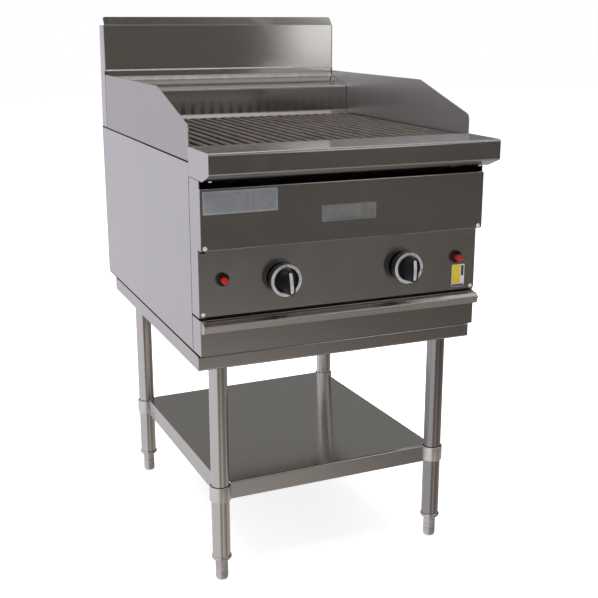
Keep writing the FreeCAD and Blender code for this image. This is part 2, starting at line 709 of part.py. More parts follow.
def grate_rests():
    half = LINER_X - 16
    z_low = REST_TOP_Z - REST_HEIGHT
    front_y = (BODY_FRONT_Y + SHEET + 0.5, BODY_FRONT_Y + SHEET + 0.5 + REST_WIDTH)
    back_y = (GRATE_BACK_Y - REST_WIDTH + 4, GRATE_BACK_Y + 4)
    bars = []
    for y_low, y_high, leg_y in (
        (front_y[0], front_y[1], LINER_FRONT_Y), (back_y[0], back_y[1], LINER_BACK_Y - SHEET)):
        top = box((-half, half), (y_low, y_high), (z_low, REST_TOP_Z))
        leg_z = (FLUE_BASE_Z - SHEET - 1, z_low)
        drop = box((-half, half), (leg_y, leg_y + SHEET), leg_z)
        bars.append(fused([top, drop]))
    return grouped(bars)


def grate_bar(x):
    half_top = BAR_TOP_WIDTH / 2
    half_foot = BAR_FOOT_WIDTH / 2
    low = REST_TOP_Z + FIT_GAP + TIE_HEIGHT
    outline = [
        vec(x - half_foot, GRATE_FRONT_Y, low),
        vec(x + half_foot, GRATE_FRONT_Y, low),
        vec(x + half_top, GRATE_FRONT_Y, GRATE_TOP_Z - 2),
        vec(x + half_top - 2, GRATE_FRONT_Y, GRATE_TOP_Z),
        vec(x - half_top + 2, GRATE_FRONT_Y, GRATE_TOP_Z),
        vec(x - half_top, GRATE_FRONT_Y, GRATE_TOP_Z - 2),
    ]
    return prism(outline, vec(0, GRATE_BACK_Y - GRATE_FRONT_Y, 0))


def grate(index):
    """Removable cast section: bars front to back on top of cross ties."""
    width = GRATE_SPAN / GRATE_COUNT
    left = -GRATE_SPAN / 2 + index * width
    pitch = width / BARS_PER_GRATE
    bars = [grate_bar(left + pitch * (i + 0.5)) for i in range(BARS_PER_GRATE)]
    inset = (pitch - BAR_FOOT_WIDTH) / 2
    tie_x = (left + inset, left + width - inset)
    tie_z = (REST_TOP_Z + FIT_GAP, REST_TOP_Z + FIT_GAP + TIE_HEIGHT)
    length = GRATE_BACK_Y - GRATE_FRONT_Y
    ties = []
    for fraction in (0.02, 0.34, 0.66, 0.98):
        y = GRATE_FRONT_Y + length * fraction
        ties.append(box(tie_x, (y - TIE_WIDTH / 2, y + TIE_WIDTH / 2), tie_z))
    return grouped(bars + ties)


def grate_centres():
    width = GRATE_SPAN / GRATE_COUNT
    return [-GRATE_SPAN / 2 + width * (i + 0.5) for i in range(GRATE_COUNT)]


def radiants():
    shapes = []
    half = RADIANT_WIDTH / 2
    for x in grate_centres():
        outline = [
            vec(x - half, RADIANT_FRONT_Y, RADIANT_BASE_Z),
            vec(x, RADIANT_FRONT_Y, RADIANT_TOP_Z),
            vec(x + half, RADIANT_FRONT_Y, RADIANT_BASE_Z),
            vec(x + half - 2 * RADIANT_T, RADIANT_FRONT_Y, RADIANT_BASE_Z),
            vec(x, RADIANT_FRONT_Y, RADIANT_TOP_Z - 1.6 * RADIANT_T),
            vec(x - half + 2 * RADIANT_T, RADIANT_FRONT_Y, RADIANT_BASE_Z),
        ]
        shapes.append(prism(outline, vec(0, RADIANT_BACK_Y - RADIANT_FRONT_Y, 0)))
    return grouped(shapes)


def radiant_rack():
    half = LINER_X - FIT_GAP
    z = RADIANT_BASE_Z - RACK_RADIUS
    bars = []
    for y in (RADIANT_FRONT_Y + 40, RADIANT_BACK_Y - 40):
        bars.append(cylinder(RACK_RADIUS, vec(-half, y, z), X_AXIS, 2 * half))
    return grouped(bars)


def burner(side):
    """Twin-tube burner with a cross head and a venturi in line with its valve."""
    centre = side * KNOB_X
    length = BURNER_BACK_Y - BURNER_FRONT_Y
    parts = []
    for offset in (-BURNER_SPREAD, BURNER_SPREAD):
        start = vec(centre + offset, BURNER_FRONT_Y, KNOB_Z)
        parts.append(cylinder(BURNER_RADIUS, start, Y_AXIS, length))
    head_y = BURNER_FRONT_Y + BURNER_RADIUS
    head_start = vec(centre - BURNER_SPREAD, head_y, KNOB_Z)
    parts.append(cylinder(BURNER_RADIUS - 1, head_start, X_AXIS, 2 * BURNER_SPREAD))
    throat = head_y - VENTURI_MOUTH_Y
    parts.append(cylinder(VENTURI_RADIUS, vec(centre, VENTURI_MOUTH_Y, KNOB_Z), Y_AXIS, throat))
    bell = Part.makeCone(VENTURI_RADIUS + 3, VENTURI_RADIUS, 8, vec(centre, VENTURI_MOUTH_Y, KNOB_Z), Y_AXIS)
    shape = fused(parts + [bell])
    mouth = cylinder(VENTURI_RADIUS - 3, vec(centre, VENTURI_MOUTH_Y - 1, KNOB_Z), Y_AXIS, 40)
    return shape.cut(mouth)


# Gas train

def gas_manifold():
    pipe = cylinder(
        PIPE_RADIUS, vec(-MANIFOLD_HALF, MANIFOLD_Y, MANIFOLD_Z), X_AXIS, 2 * MANIFOLD_HALF)
    cap = cylinder(PIPE_RADIUS + 2.5, vec(MANIFOLD_HALF - 14, MANIFOLD_Y, MANIFOLD_Z), X_AXIS, 16)
    return fused([pipe, cap])


def gas_valves():
    shapes = []
    for side in (-1, 1):
        x = side * KNOB_X
        body_x = (x - VALVE_HALF, x + VALVE_HALF)
        body_z = (KNOB_Z - VALVE_HALF, KNOB_Z + VALVE_HALF)
        body = box(body_x, (VALVE_FRONT_Y, VALVE_BACK_Y), body_z)
        body = fillet_where(body, 4.0, lambda edge: along(edge, Y_AXIS))
        neck_z = MANIFOLD_Z + PIPE_RADIUS
        neck = cylinder(8.0, vec(x, MANIFOLD_Y, neck_z), Z_AXIS, KNOB_Z - neck_z)
        hood = cylinder(5.0, vec(x, VALVE_BACK_Y, KNOB_Z), Y_AXIS, 5.0)
        bore_length = SPINDLE_ROOT_Y - VALVE_FRONT_Y + 1
        bore_radius = SPINDLE_RADIUS + SPINDLE_CLEARANCE
        bore = cylinder(bore_radius, vec(x, VALVE_FRONT_Y, KNOB_Z), Y_AXIS, bore_length)
        shapes.append(fused([body, neck, hood]).cut(bore))
    return grouped(shapes)


def gas_inlet_pipe():
    """Drop, elbow block, run back under the firebox and a threaded socket, joined end to end."""
    half = ELBOW_HALF
    elbow_y = (MANIFOLD_Y - half, MANIFOLD_Y + half)
    elbow = box((INLET_X - half, INLET_X + half), elbow_y, (INLET_Z - half, INLET_Z + half))
    elbow = elbow.makeFillet(3.0, elbow.Edges)
    drop_length = MANIFOLD_Z - PIPE_RADIUS - INLET_Z - half
    drop = cylinder(PIPE_RADIUS - 1, vec(INLET_X, MANIFOLD_Y, INLET_Z + half), Z_AXIS, drop_length)
    run_y = (MANIFOLD_Y + half, BODY_BACK_Y - COUPLING_LENGTH)
    run = cylinder(PIPE_RADIUS - 1, vec(INLET_X, run_y[0], INLET_Z), Y_AXIS, run_y[1] - run_y[0])
    coupling = cylinder(COUPLING_RADIUS, vec(INLET_X, run_y[1], INLET_Z), Y_AXIS, COUPLING_LENGTH)
    bore_start = vec(INLET_X, BODY_BACK_Y - INLET_BORE_DEPTH, INLET_Z)
    bore = cylinder(INLET_BORE_RADIUS, bore_start, Y_AXIS, INLET_BORE_DEPTH)
    return grouped([elbow, drop, run, coupling.cut(bore)])


# Controls

def spindle(side):
    length = SPINDLE_ROOT_Y - SPINDLE_TIP_Y
    start = vec(side * KNOB_X, SPINDLE_TIP_Y, KNOB_Z)
    return cylinder(SPINDLE_RADIUS, start, Y_AXIS, length)


def knob(side):
    """Black knob: skirt, hub and a raised grip bar, bored for its spindle."""
    x = side * KNOB_X
    skirt_length = SKIRT_BACK_Y - SKIRT_FRONT_Y
    skirt = Part.makeCone(
        SKIRT_FRONT_RADIUS, SKIRT_RADIUS, skirt_length, vec(x, SKIRT_FRONT_Y, KNOB_Z), Y_AXIS)
    hub_length = SKIRT_FRONT_Y - HUB_FRONT_Y
    hub = Part.makeCone(
        HUB_RADIUS - 4, HUB_RADIUS, hub_length, vec(x, HUB_FRONT_Y, KNOB_Z), Y_AXIS)
    grip_x = (x - GRIP_WIDTH / 2, x + GRIP_WIDTH / 2)
    grip_z = (KNOB_Z - GRIP_HEIGHT / 2, KNOB_Z + GRIP_HEIGHT / 2)
    grip = box(grip_x, (GRIP_FRONT_Y, SKIRT_FRONT_Y), grip_z)
    grip = fillet_where(grip, 6.0, lambda edge: along(edge, Y_AXIS))
    shape = fused([skirt, hub, grip])
    bore_length = SKIRT_BACK_Y - SPINDLE_TIP_Y + 4.5
    bore_start = vec(x, SPINDLE_TIP_Y - 4.5, KNOB_Z)
    bore = cylinder(SPINDLE_RADIUS + SPINDLE_CLEARANCE, bore_start, Y_AXIS, bore_length)
    return shape.cut(bore)


def knob_trim(side):
    """Satin dial ring round the hub and the pointer strip along the grip."""
    x = side * KNOB_X
    dial_start = vec(x, SKIRT_FRONT_Y - DIAL_T, KNOB_Z)
    dial = ring(DIAL_RADIUS, DIAL_INNER_RADIUS, dial_start, Y_AXIS, DIAL_T)
    pointer_x = (x - POINTER_WIDTH / 2, x + POINTER_WIDTH / 2)
    pointer_z = (KNOB_Z - POINTER_HEIGHT / 2, KNOB_Z + POINTER_HEIGHT / 2)
    pointer = box(pointer_x, (GRIP_FRONT_Y - POINTER_T, GRIP_FRONT_Y), pointer_z)
    return grouped([dial, pointer])


def igniter_bezels():
    inner = BUTTON_RADIUS + BUTTON_CLEARANCE
    shapes = []
    for side in (-1, 1):
        x = side * IGNITER_X
        flange_length = PANEL_Y - IGNITER_BEZEL_FRONT_Y
        start = vec(x, IGNITER_BEZEL_FRONT_Y, IGNITER_Z)
        flange = cylinder(IGNITER_BEZEL_RADIUS, start, Y_AXIS, flange_length)
        front_edge = lambda edge: abs(edge.CenterOfMass.y - IGNITER_BEZEL_FRONT_Y) < 0.001
        flange = fillet_where(flange, 1.5, front_edge)
        barrel_length = IGNITER_BARREL_BACK_Y - PANEL_Y
        barrel = cylinder(IGNITER_BARREL_RADIUS, vec(x, PANEL_Y, IGNITER_Z), Y_AXIS, barrel_length)
        bore_length = IGNITER_BARREL_BACK_Y - 6 - IGNITER_BEZEL_FRONT_Y
        bore = cylinder(inner, start, Y_AXIS, bore_length)
        shapes.append(fused([flange, barrel]).cut(bore))
    return grouped(shapes)


def igniter_button(side):
    start = vec(side * IGNITER_X, BUTTON_FRONT_Y, IGNITER_Z)
    button = cylinder(BUTTON_RADIUS, start, Y_AXIS, BUTTON_ROOT_Y - BUTTON_FRONT_Y)
    front_edge = lambda edge: abs(edge.CenterOfMass.y - BUTTON_FRONT_Y) < 0.001
    return fillet_where(button, 2.2, front_edge)


# Plates and screws

def badge_plate():
    x_range = (-BADGE_HALF, BADGE_HALF)
    return plate_xz(x_range, (BADGE_BOTTOM_Z, BADGE_TOP_Z), UPPER_Y - BADGE_T, BADGE_T, 5.0)


def notice_plate():
    x_range = (NOTICE_LEFT_X, NOTICE_RIGHT_X)
    return plate_xz(x_range, (NOTICE_BOTTOM_Z, NOTICE_TOP_Z), UPPER_Y - NOTICE_T, NOTICE_T, 1.5)


def sticker():
    x_range = (STICKER_LEFT_X, STICKER_RIGHT_X)
    return plate_xz(x_range, (STICKER_BOTTOM_Z, STICKER_TOP_Z), PANEL_Y - STICKER_T, STICKER_T, 1.0)


def screw_head(start, outward):
    head = cylinder(SCREW_RADIUS, start, outward, SCREW_HEAD)
    top = start + outward * SCREW_HEAD
    is_top = lambda edge: (edge.CenterOfMass - top).Length < 0.001
    return fillet_where(head, 1.6, is_top)


def panel_screws():
    heads = []
    front = vec(0, -1, 0)
    down = vec(0, 0, -1)
    for side in (-1, 1):
        heads.append(screw_head(vec(side * SCREW_X, UPPER_Y, UPPER_SCREW_Z), front))
        heads.append(screw_head(vec(side * SCREW_X, PANEL_Y, PANEL_SCREW_Z), front))
        heads.append(screw_head(vec(side * LEDGE_SCREW_X, LEDGE_SCREW_Y, LEDGE_CHAMFER_Z), down))
    return grouped(heads)


# Grease drawer

def drawer_front():
    """Drawer face wrapped back along both ends."""
    x_range = (-HALF_WIDTH, HALF_WIDTH)
    z_range = (DRAWER_BOTTOM_Z, DRAWER_TOP_Z)
    outer = box(x_range, (DRAWER_Y, DRAWER_BACK_Y), z_range)
    outer = fillet_where(outer, BEND_INNER, lambda e: along(e, Z_AXIS) and e.CenterOfMass.y < PANEL_Y)
    inner_x = HALF_WIDTH - SHEET
    inner_z = (DRAWER_BOTTOM_Z - 1, DRAWER_TOP_Z + 1)
    inner = box((-inner_x, inner_x), (DRAWER_Y + SHEET, DRAWER_BACK_Y + 1), inner_z)
    wrap = outer.cut(inner)
    return_y = (DRAWER_Y + SHEET / 2, DRAWER_Y + DRAWER_RETURN)
    top = box((-inner_x, inner_x), return_y, (DRAWER_TOP_Z - SHEET, DRAWER_TOP_Z))
    return fused([wrap, top])


def drawer_lip():
    """Rolled pull along the top of the drawer face."""
    line = [
        (DRAWER_Y, DRAWER_TOP_Z - 0.6),
        (LIP_NOSE_Y + 8.0, DRAWER_TOP_Z - 1.6),
        (LIP_NOSE_Y, LIP_NOSE_Z),
        (LIP_UNDER_Y, LIP_UNDER_Z),
        (DRAWER_Y, LIP_ROOT_Z),
    ]
    line.reverse()
    sheet = folded(line, SHEET, BEND_INNER, in_yz(-LIP_HALF), vec(2 * LIP_HALF, 0, 0))
    caps = []
    for x in (-LIP_HALF, LIP_HALF - SHEET):
        outline = [
            vec(x, DRAWER_Y, DRAWER_TOP_Z - 1.6),
            vec(x, LIP_NOSE_Y + 8.0, DRAWER_TOP_Z - 2.4),
            vec(x, LIP_NOSE_Y + 1.0, LIP_NOSE_Z),
            vec(x, LIP_UNDER_Y + 0.6, LIP_UNDER_Z + 0.8),
            vec(x, DRAWER_Y, LIP_ROOT_Z + 1),
        ]
        caps.append(prism(outline, vec(SHEET, 0, 0)))
    behind_face = box((-HALF_WIDTH, HALF_WIDTH), (DRAWER_Y, PANEL_Y), (DRAWER_BOTTOM_Z, DRAWER_TOP_Z))
    return fused([sheet] + caps).cut(behind_face)


def drawer_tray():
    y_range = (DRAWER_Y + SHEET, TRAY_BACK_Y)
    outer = box((-TRAY_HALF, TRAY_HALF), y_range, (TRAY_BOTTOM_Z, TRAY_TOP_Z))
    outer = fillet_where(outer, BEND_INNER, lambda edge: along(edge, Z_AXIS))
    inner_x = TRAY_HALF - SHEET
    inner_y = (y_range[0] + SHEET, y_range[1] - SHEET)
    inner = box((-inner_x, inner_x), inner_y, (TRAY_BOTTOM_Z + SHEET, TRAY_TOP_Z + 1))
    return outer.cut(inner)


def drawer_runners():
    x_range = (RUNNER_INNER_X, HALF_WIDTH - SHEET - FIT_GAP)
    runner = box(x_range, (BODY_FRONT_Y + 4, BODY_BACK_Y - 6), (RUNNER_BOTTOM_Z, RUNNER_TOP_Z))
    return grouped([runner, mirrored(runner)])


def write(name, shape):
    if not shape.isValid():
        print("INVALID", name)
    print(name, len(shape.Solids), round(shape.Volume / 1000.0, 1))
    shape.exportStep("parts/" + name + ".step")


def write_pair(name, shape):
    write(name + "_right", shape)
    write(name + "_left", mirrored(shape))


def main():
    write("stand_rail_front", cross_rail(RAIL_FRONT_Y, 1))
    write("stand_rail_back", cross_rail(RAIL_BACK_Y, -1))
    write_pair("stand_rail", side_rail())
    write("leg_sockets", leg_sockets())
    inserts = []
    for name, x, y in leg_positions():
        write("leg_" + name, leg(x, y))
        inserts.append(foot_insert(x, y))
        write("foot_" + name, foot_stem(x, y))
    write("foot_inserts", grouped(inserts))
    write("undershelf", undershelf())
    write("shelf_collars", shelf_collars())

    write_pair("side_panel", side_panel())
    write("back_panel", back_panel())
    write_pair("cheek", cheek())
    write("control_panel", control_panel())
    write("upper_front_panel", upper_front_panel())
    write("landing_ledge", landing_ledge())
    write("splashback", splashback())
    write("flue_back", flue_back())
    write("flue_riser", flue_riser())
    write_pair("side_splash", side_splash())

    write("firebox_sides", grouped([firebox_side(), mirrored(firebox_side())]))
    write("firebox_ends", firebox_ends())
    write("grate_rests", grate_rests())
    for index in range(GRATE_COUNT):
        write("grate_" + str(index + 1), grate(index))
    write("radiants", radiants())
    write("radiant_rack", radiant_rack())
    write("gas_manifold", gas_manifold())
    write("gas_valves", gas_valves())
    write("gas_inlet_pipe", gas_inlet_pipe())

    for name, side in (("left", -1), ("right", 1)):
        write("burner_" + name, burner(side))
        write("spindle_" + name, spindle(side))
        write("knob_" + name, knob(side))
        write("knob_trim_" + name, knob_trim(side))
        write("igniter_button_" + name, igniter_button(side))
    write("igniter_bezels", igniter_bezels())

    write("badge_plate", badge_plate())
    write("notice_plate", notice_plate())
    write("sticker", sticker())
    write("panel_screws", panel_screws())

    write("drawer_front", drawer_front())
    write("drawer_lip", drawer_lip())
    write("drawer_tray", drawer_tray())
    write("drawer_runners", drawer_runners())


main()
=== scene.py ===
import bpy
import bmesh
import json
import math
from mathutils import Matrix, Vector, noise


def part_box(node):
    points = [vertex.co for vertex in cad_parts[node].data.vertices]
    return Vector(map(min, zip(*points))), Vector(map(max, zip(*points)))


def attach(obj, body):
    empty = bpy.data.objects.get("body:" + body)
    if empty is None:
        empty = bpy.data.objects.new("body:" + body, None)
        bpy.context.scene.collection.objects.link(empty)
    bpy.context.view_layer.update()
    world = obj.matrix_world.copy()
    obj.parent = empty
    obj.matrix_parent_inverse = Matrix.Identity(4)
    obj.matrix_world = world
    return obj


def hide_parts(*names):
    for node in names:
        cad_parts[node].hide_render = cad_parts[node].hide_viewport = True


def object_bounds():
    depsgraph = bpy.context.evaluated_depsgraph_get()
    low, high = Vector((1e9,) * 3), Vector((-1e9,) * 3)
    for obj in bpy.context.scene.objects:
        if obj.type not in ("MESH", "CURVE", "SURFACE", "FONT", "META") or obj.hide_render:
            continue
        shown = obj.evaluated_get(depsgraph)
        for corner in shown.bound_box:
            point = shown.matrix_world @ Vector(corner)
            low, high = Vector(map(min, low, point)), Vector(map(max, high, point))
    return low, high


# Charbroiler grill on an open stand. Metres, in the frame of the CAD model: +Z up, -Y is the front.

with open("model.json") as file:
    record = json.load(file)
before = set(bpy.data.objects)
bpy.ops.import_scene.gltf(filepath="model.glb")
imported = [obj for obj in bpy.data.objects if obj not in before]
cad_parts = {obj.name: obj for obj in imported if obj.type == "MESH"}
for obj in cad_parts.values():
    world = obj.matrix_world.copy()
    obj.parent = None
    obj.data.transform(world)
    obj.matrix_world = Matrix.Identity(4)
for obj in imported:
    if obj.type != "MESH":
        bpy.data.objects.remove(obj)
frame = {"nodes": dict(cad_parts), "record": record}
CAD_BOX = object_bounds()
NODES = frame["nodes"]
RECORD = frame["record"]
BODY_OF = {node: body for body, nodes in RECORD["behaviour"]["bodies"].items() for node in nodes}

MM = 0.001
SIDES = ("left", "right")
CORNERS = ("front_left", "front_right", "back_left", "back_right")


# ---- Node graph helpers

class Graph:
    """Builds a node tree: add makes a node, wires or sets its inputs and gives an output."""

    def __init__(self, tree):
        self.tree = tree
        self.tree.nodes.clear()

    def add(self, kind, output=0, settings=None, **inputs):
        node = self.tree.nodes.new(kind)
        for key, value in (settings or {}).items():
            setattr(node, key, value)
        for key, value in inputs.items():
            name = int(key[1:]) if key[0] == "i" and key[1:].isdigit() else key.replace("_", " ")
            socket = node.inputs[name]
            if isinstance(value, bpy.types.NodeSocket):
                self.tree.links.new(value, socket)
            else:
                socket.default_value = value
        return node.outputs[output] if node.outputs else node

    def place(self):
        """Position in the object's own coordinates, which are the frame's."""
        return self.add("ShaderNodeTexCoord", output="Object")

    def split(self, vector):
        """The x, y and z of a vector."""
        return self.add("ShaderNodeSeparateXYZ", Vector=vector).node.outputs

    def math(self, operation, a, b=0.0, clamp=False):
        settings = {"operation": operation, "use_clamp": clamp}
        return self.add("ShaderNodeMath", settings=settings, i0=a, i1=b)

    def plus(self, a, b, clamp=False):
        return self.math("ADD", a, b, clamp)

    def times(self, a, b):
        return self.math("MULTIPLY", a, b)

    def vector_math(self, operation, a, b):
        return self.add("ShaderNodeVectorMath", settings={"operation": operation}, i0=a, i1=b)

    def scaled(self, vector, scale):
        return self.vector_math("MULTIPLY", vector, scale)

    def noise(self, vector, scale, detail=3.0, roughness=0.5, distortion=0.0):
        return self.add(
            "ShaderNodeTexNoise", Vector=vector, Scale=scale, Detail=detail,
            Roughness=roughness, Distortion=distortion)

    def spread(self, value, low, high, out_low=0.0, out_high=1.0):
        """Smooth step of value from low to high, onto out_low to out_high."""
        settings = {"interpolation_type": "SMOOTHSTEP"}
        return self.add(
            "ShaderNodeMapRange", settings=settings, i0=value, i1=low, i2=high, i3=out_low, i4=out_high)

    def window(self, value, rise_start, rise_end, fall_start, fall_end):
        """1 inside a band of value and 0 outside it, with smooth edges."""
        return self.times(self.spread(value, rise_start, rise_end), self.spread(value, fall_end, fall_start))

    def mix(self, factor, a, b):
        """Colour a where factor is 0, colour b where it is 1."""
        return self.add("ShaderNodeMix", output=2, settings={"data_type": "RGBA"}, i0=factor, i6=a, i7=b)

    def bump(self, height, strength, distance):
        return self.add("ShaderNodeBump", Height=height, Strength=strength, Distance=distance)


def rgb(red, green, blue):
    return (red, green, blue, 1.0)


def shade(tone, factor=1.0):
    """A tone made darker or lighter by a factor, as a colour."""
    return rgb(*(min(1.0, c * factor) for c in tone))


MATERIALS = {}


def new_material(name):
    """Start a material, kept in MATERIALS by its name, and give its empty graph."""
    material = bpy.data.materials.new(name)
    material.use_nodes = True
    MATERIALS[name] = material
    return Graph(material.node_tree)


def finish_surface(graph, **inputs):
    shader = graph.add("ShaderNodeBsdfPrincipled", **inputs)
    graph.add("ShaderNodeOutputMaterial", Surface=shader)


# ---- Materials

GRAIN_LENGTH = 5.0
GRAIN_FINE = 1500.0
GRAIN_COARSE = 420.0
# Painted shade: a darker colour on steel faces that point down.
UNDERSIDE_SHADE = (0.10, 0.092, 0.082)
UNDERSIDE_SHADE_TILT = -0.6
UNDERSIDE_SHADE_SHARE = 0.6
# Painted reflection of the grate bars and painted shade, on the flue riser.
RISER_PAINTED_SHADE = (0.16, 0.145, 0.13)
RISER_PAINTED_SHADE_SHARE = 0.7
REFLECTED_BAR_PITCH = 24.75 * MM
REFLECTED_BAR_START = -286.6 * MM
REFLECTED_BAR_WANDER = 30 * MM
RISER_SHADED_FOOT = (922.0 * MM, 928.0 * MM)
REFLECTED_BAR_FADE = (933.0 * MM, 978.0 * MM)
RIGHT_SHADE_TOP = (982.0 * MM, 985.0 * MM)
RIGHT_SHADE_ALONG = (-40.0 * MM, 120.0 * MM)
RIGHT_SHADE_SHARE = (0.15, 0.92)


def grain_scale(axis, across):
    """Texture scale that draws noise out into lines along one axis."""
    return tuple(GRAIN_LENGTH if i == axis else across for i in range(3))


def riser_reflection_and_shade_mask(g, place):
    """Painted reflection of the grate bars as stripes fading upwards from the foot, painted shade along the
    foot and painted shade on the right.
    """
    x, y, z = g.split(place)
    wander = g.noise(place, 30.0, 2.0, 0.5)
    along = g.times(g.math("SUBTRACT", x, REFLECTED_BAR_START), 2 * math.pi / REFLECTED_BAR_PITCH)
    phase = g.plus(along, g.times(g.math("SUBTRACT", wander, 0.5), 1.2))
    stripes = g.spread(g.math("COSINE", phase), -0.2, 0.9)
    fade = g.spread(g.plus(z, g.times(wander, REFLECTED_BAR_WANDER)), REFLECTED_BAR_FADE[1], REFLECTED_BAR_FADE[0])
    above_foot = g.spread(z, *RISER_SHADED_FOOT)
    painted_reflection_and_shade = g.times(g.times(stripes, fade), above_foot)
    # Painted shade below the cap, growing towards the right.
    film = g.times(g.spread(z, RIGHT_SHADE_TOP[1], RIGHT_SHADE_TOP[0]), g.spread(x, *RIGHT_SHADE_ALONG, *RIGHT_SHADE_SHARE))
    painted_reflection_and_shade = g.plus(painted_reflection_and_shade, film, clamp=True)
    return g.math("MAXIMUM", painted_reflection_and_shade, g.math("SUBTRACT", 1.0, above_foot))


def steel(name, axis, tone, roughness, mottle=0.03, anisotropy=0.4, stain=0.0, riser_reflection_and_shade=False):
    """Brushed stainless steel with its grain along one axis of the frame (0 X, 1 Y, 2 Z)."""
    g = new_material(name)
    place = g.place()
    fine = g.noise(g.scaled(place, grain_scale(axis, GRAIN_FINE)), 1.0, 2.0, 0.6)
    coarse = g.noise(g.scaled(place, grain_scale(axis, GRAIN_COARSE)), 1.0, 2.0, 0.5)
    cloud = g.noise(place, 2.6, 3.0, 0.5, 0.3)
    handling = g.noise(place, 13.0, 4.0, 0.55, 0.6)
    streaks = g.plus(g.times(fine, 0.65), g.times(coarse, 0.35))
    colour = g.mix(g.spread(streaks, 0.32, 0.68), shade(tone, 1 - mottle), shade(tone, 1 + mottle))
    cool = rgb(tone[0] * 0.96, tone[1] * 0.975, tone[2] * 1.02)
    colour = g.mix(g.spread(cloud, 0.42, 0.66, 0.0, 0.7), colour, cool)
    if stain:
        burnt = rgb(tone[0] * 0.62, tone[1] * 0.47, tone[2] * 0.34)
        colour = g.mix(g.spread(handling, 0.45, 0.7, 0.0, stain), colour, burnt)
    # Painted reflection and shade: the riser steel is mixed towards a dark colour.
    if riser_reflection_and_shade:
        colour = g.mix(g.times(riser_reflection_and_shade_mask(g, place), RISER_PAINTED_SHADE_SHARE), colour, shade(RISER_PAINTED_SHADE))
    normal = g.add("ShaderNodeNewGeometry", output="Normal")
    tilt = g.split(normal)[2]
    # Painted shade: faces that point down are mixed towards a dark colour.
    underside = g.spread(tilt, UNDERSIDE_SHADE_TILT, UNDERSIDE_SHADE_TILT - 0.1, 0.0, UNDERSIDE_SHADE_SHARE)
    colour = g.mix(underside, colour, shade(UNDERSIDE_SHADE))
    smudge = g.spread(handling, 0.50, 0.72, 0.0, 0.025)
    gloss = g.plus(g.spread(streaks, 0.25, 0.75, roughness * 0.92, roughness * 1.08), smudge)
    along = Vector((0.011, 0.017, 0.013))
    along[axis] = 1.0
    across = g.vector_math("CROSS_PRODUCT", normal, along)
    relief = g.bump(g.noise(place, 5.0, 1.0, 0.4), 0.05, 0.004)
    finish_surface(
        g, Base_Color=colour, Metallic=1.0, Roughness=gloss, Anisotropic=anisotropy,
        Tangent=across, Normal=relief)


def cast_iron(name, tone, rust, gloss):
    """Seasoned cast iron: sandy skin, rusty and greasy patches."""
    g = new_material(name)
    place = g.place()
    sand = g.noise(place, 900.0, 3.0, 0.65)
    lumps = g.noise(place, 140.0, 4.0, 0.6, 0.3)
    patches = g.noise(place, 14.0, 5.0, 0.62, 0.7)
    grease = g.noise(g.scaled(place, (30.0, 7.0, 30.0)), 1.0, 4.0, 0.6, 0.5)
    colour = g.mix(g.spread(lumps, 0.3, 0.7), shade(tone, 0.7), shade(tone, 1.3))
    colour = g.mix(g.spread(patches, 0.42, 0.68, 0.0, 0.75), colour, shade(rust))
    colour = g.mix(g.spread(grease, 0.50, 0.72, 0.0, 0.55), colour, rgb(0.02, 0.016, 0.014))
    shine = g.spread(grease, 0.40, 0.72, gloss + 0.12, gloss - 0.16)
    height = g.plus(g.times(sand, 0.35), g.times(lumps, 0.65))
    finish_surface(
        g, Base_Color=colour, Metallic=0.35, Roughness=shine, Normal=g.bump(height, 0.55, 0.0012))


def plastic(name, tone, gloss, grain=1400.0, relief=0.12, dust=0.35, specular=0.5):
    """Moulded plastic: fine spark texture, rubbed patches and a little dust."""
    g = new_material(name)
    place = g.place()
    spark = g.noise(place, grain, 2.0, 0.6)
    rubbed = g.noise(place, 60.0, 4.0, 0.6, 0.5)
    dusty = rgb(*(c + 0.05 * dust for c in tone))
    colour = g.mix(g.spread(rubbed, 0.45, 0.75, 0.0, dust), shade(tone), dusty)
    shine = g.spread(rubbed, 0.35, 0.70, gloss * 0.85, gloss * 1.35)
    finish_surface(
        g, Base_Color=colour, Roughness=shine, Specular_IOR_Level=specular,
        Normal=g.bump(spark, relief, 0.0003))


def satin_metal(name, tone, gloss, grain=700.0, metallic=1.0):
    """Bead-blasted or plated metal with faint blotches."""
    g = new_material(name)
    place = g.place()
    beads = g.noise(place, grain, 3.0, 0.6)
    blotch = g.noise(place, 45.0, 4.0, 0.6, 0.5)
    colour = g.mix(g.spread(blotch, 0.35, 0.7), shade(tone, 0.82), shade(tone))
    shine = g.spread(blotch, 0.3, 0.7, gloss * 0.85, gloss * 1.2)
    finish_surface(
        g, Base_Color=colour, Metallic=metallic, Roughness=shine, Normal=g.bump(beads, 0.18, 0.0003))


STEEL = (0.66, 0.645, 0.63)
TUBE = (0.77, 0.745, 0.71)

steel("steel_x", 0, STEEL, 0.12, anisotropy=0.3)
steel("steel_y", 1, STEEL, 0.24)
steel("tube", 2, TUBE, 0.19, anisotropy=0.5)
# Painted shade: a darker copy of the tube steel, for the front right leg alone.
steel("tube_painted_shade", 2, (0.44, 0.42, 0.41), 0.19, anisotropy=0.5)  # darker in the photo
steel("steel_splash", 2, (0.60, 0.585, 0.575), 0.34, anisotropy=0.3)
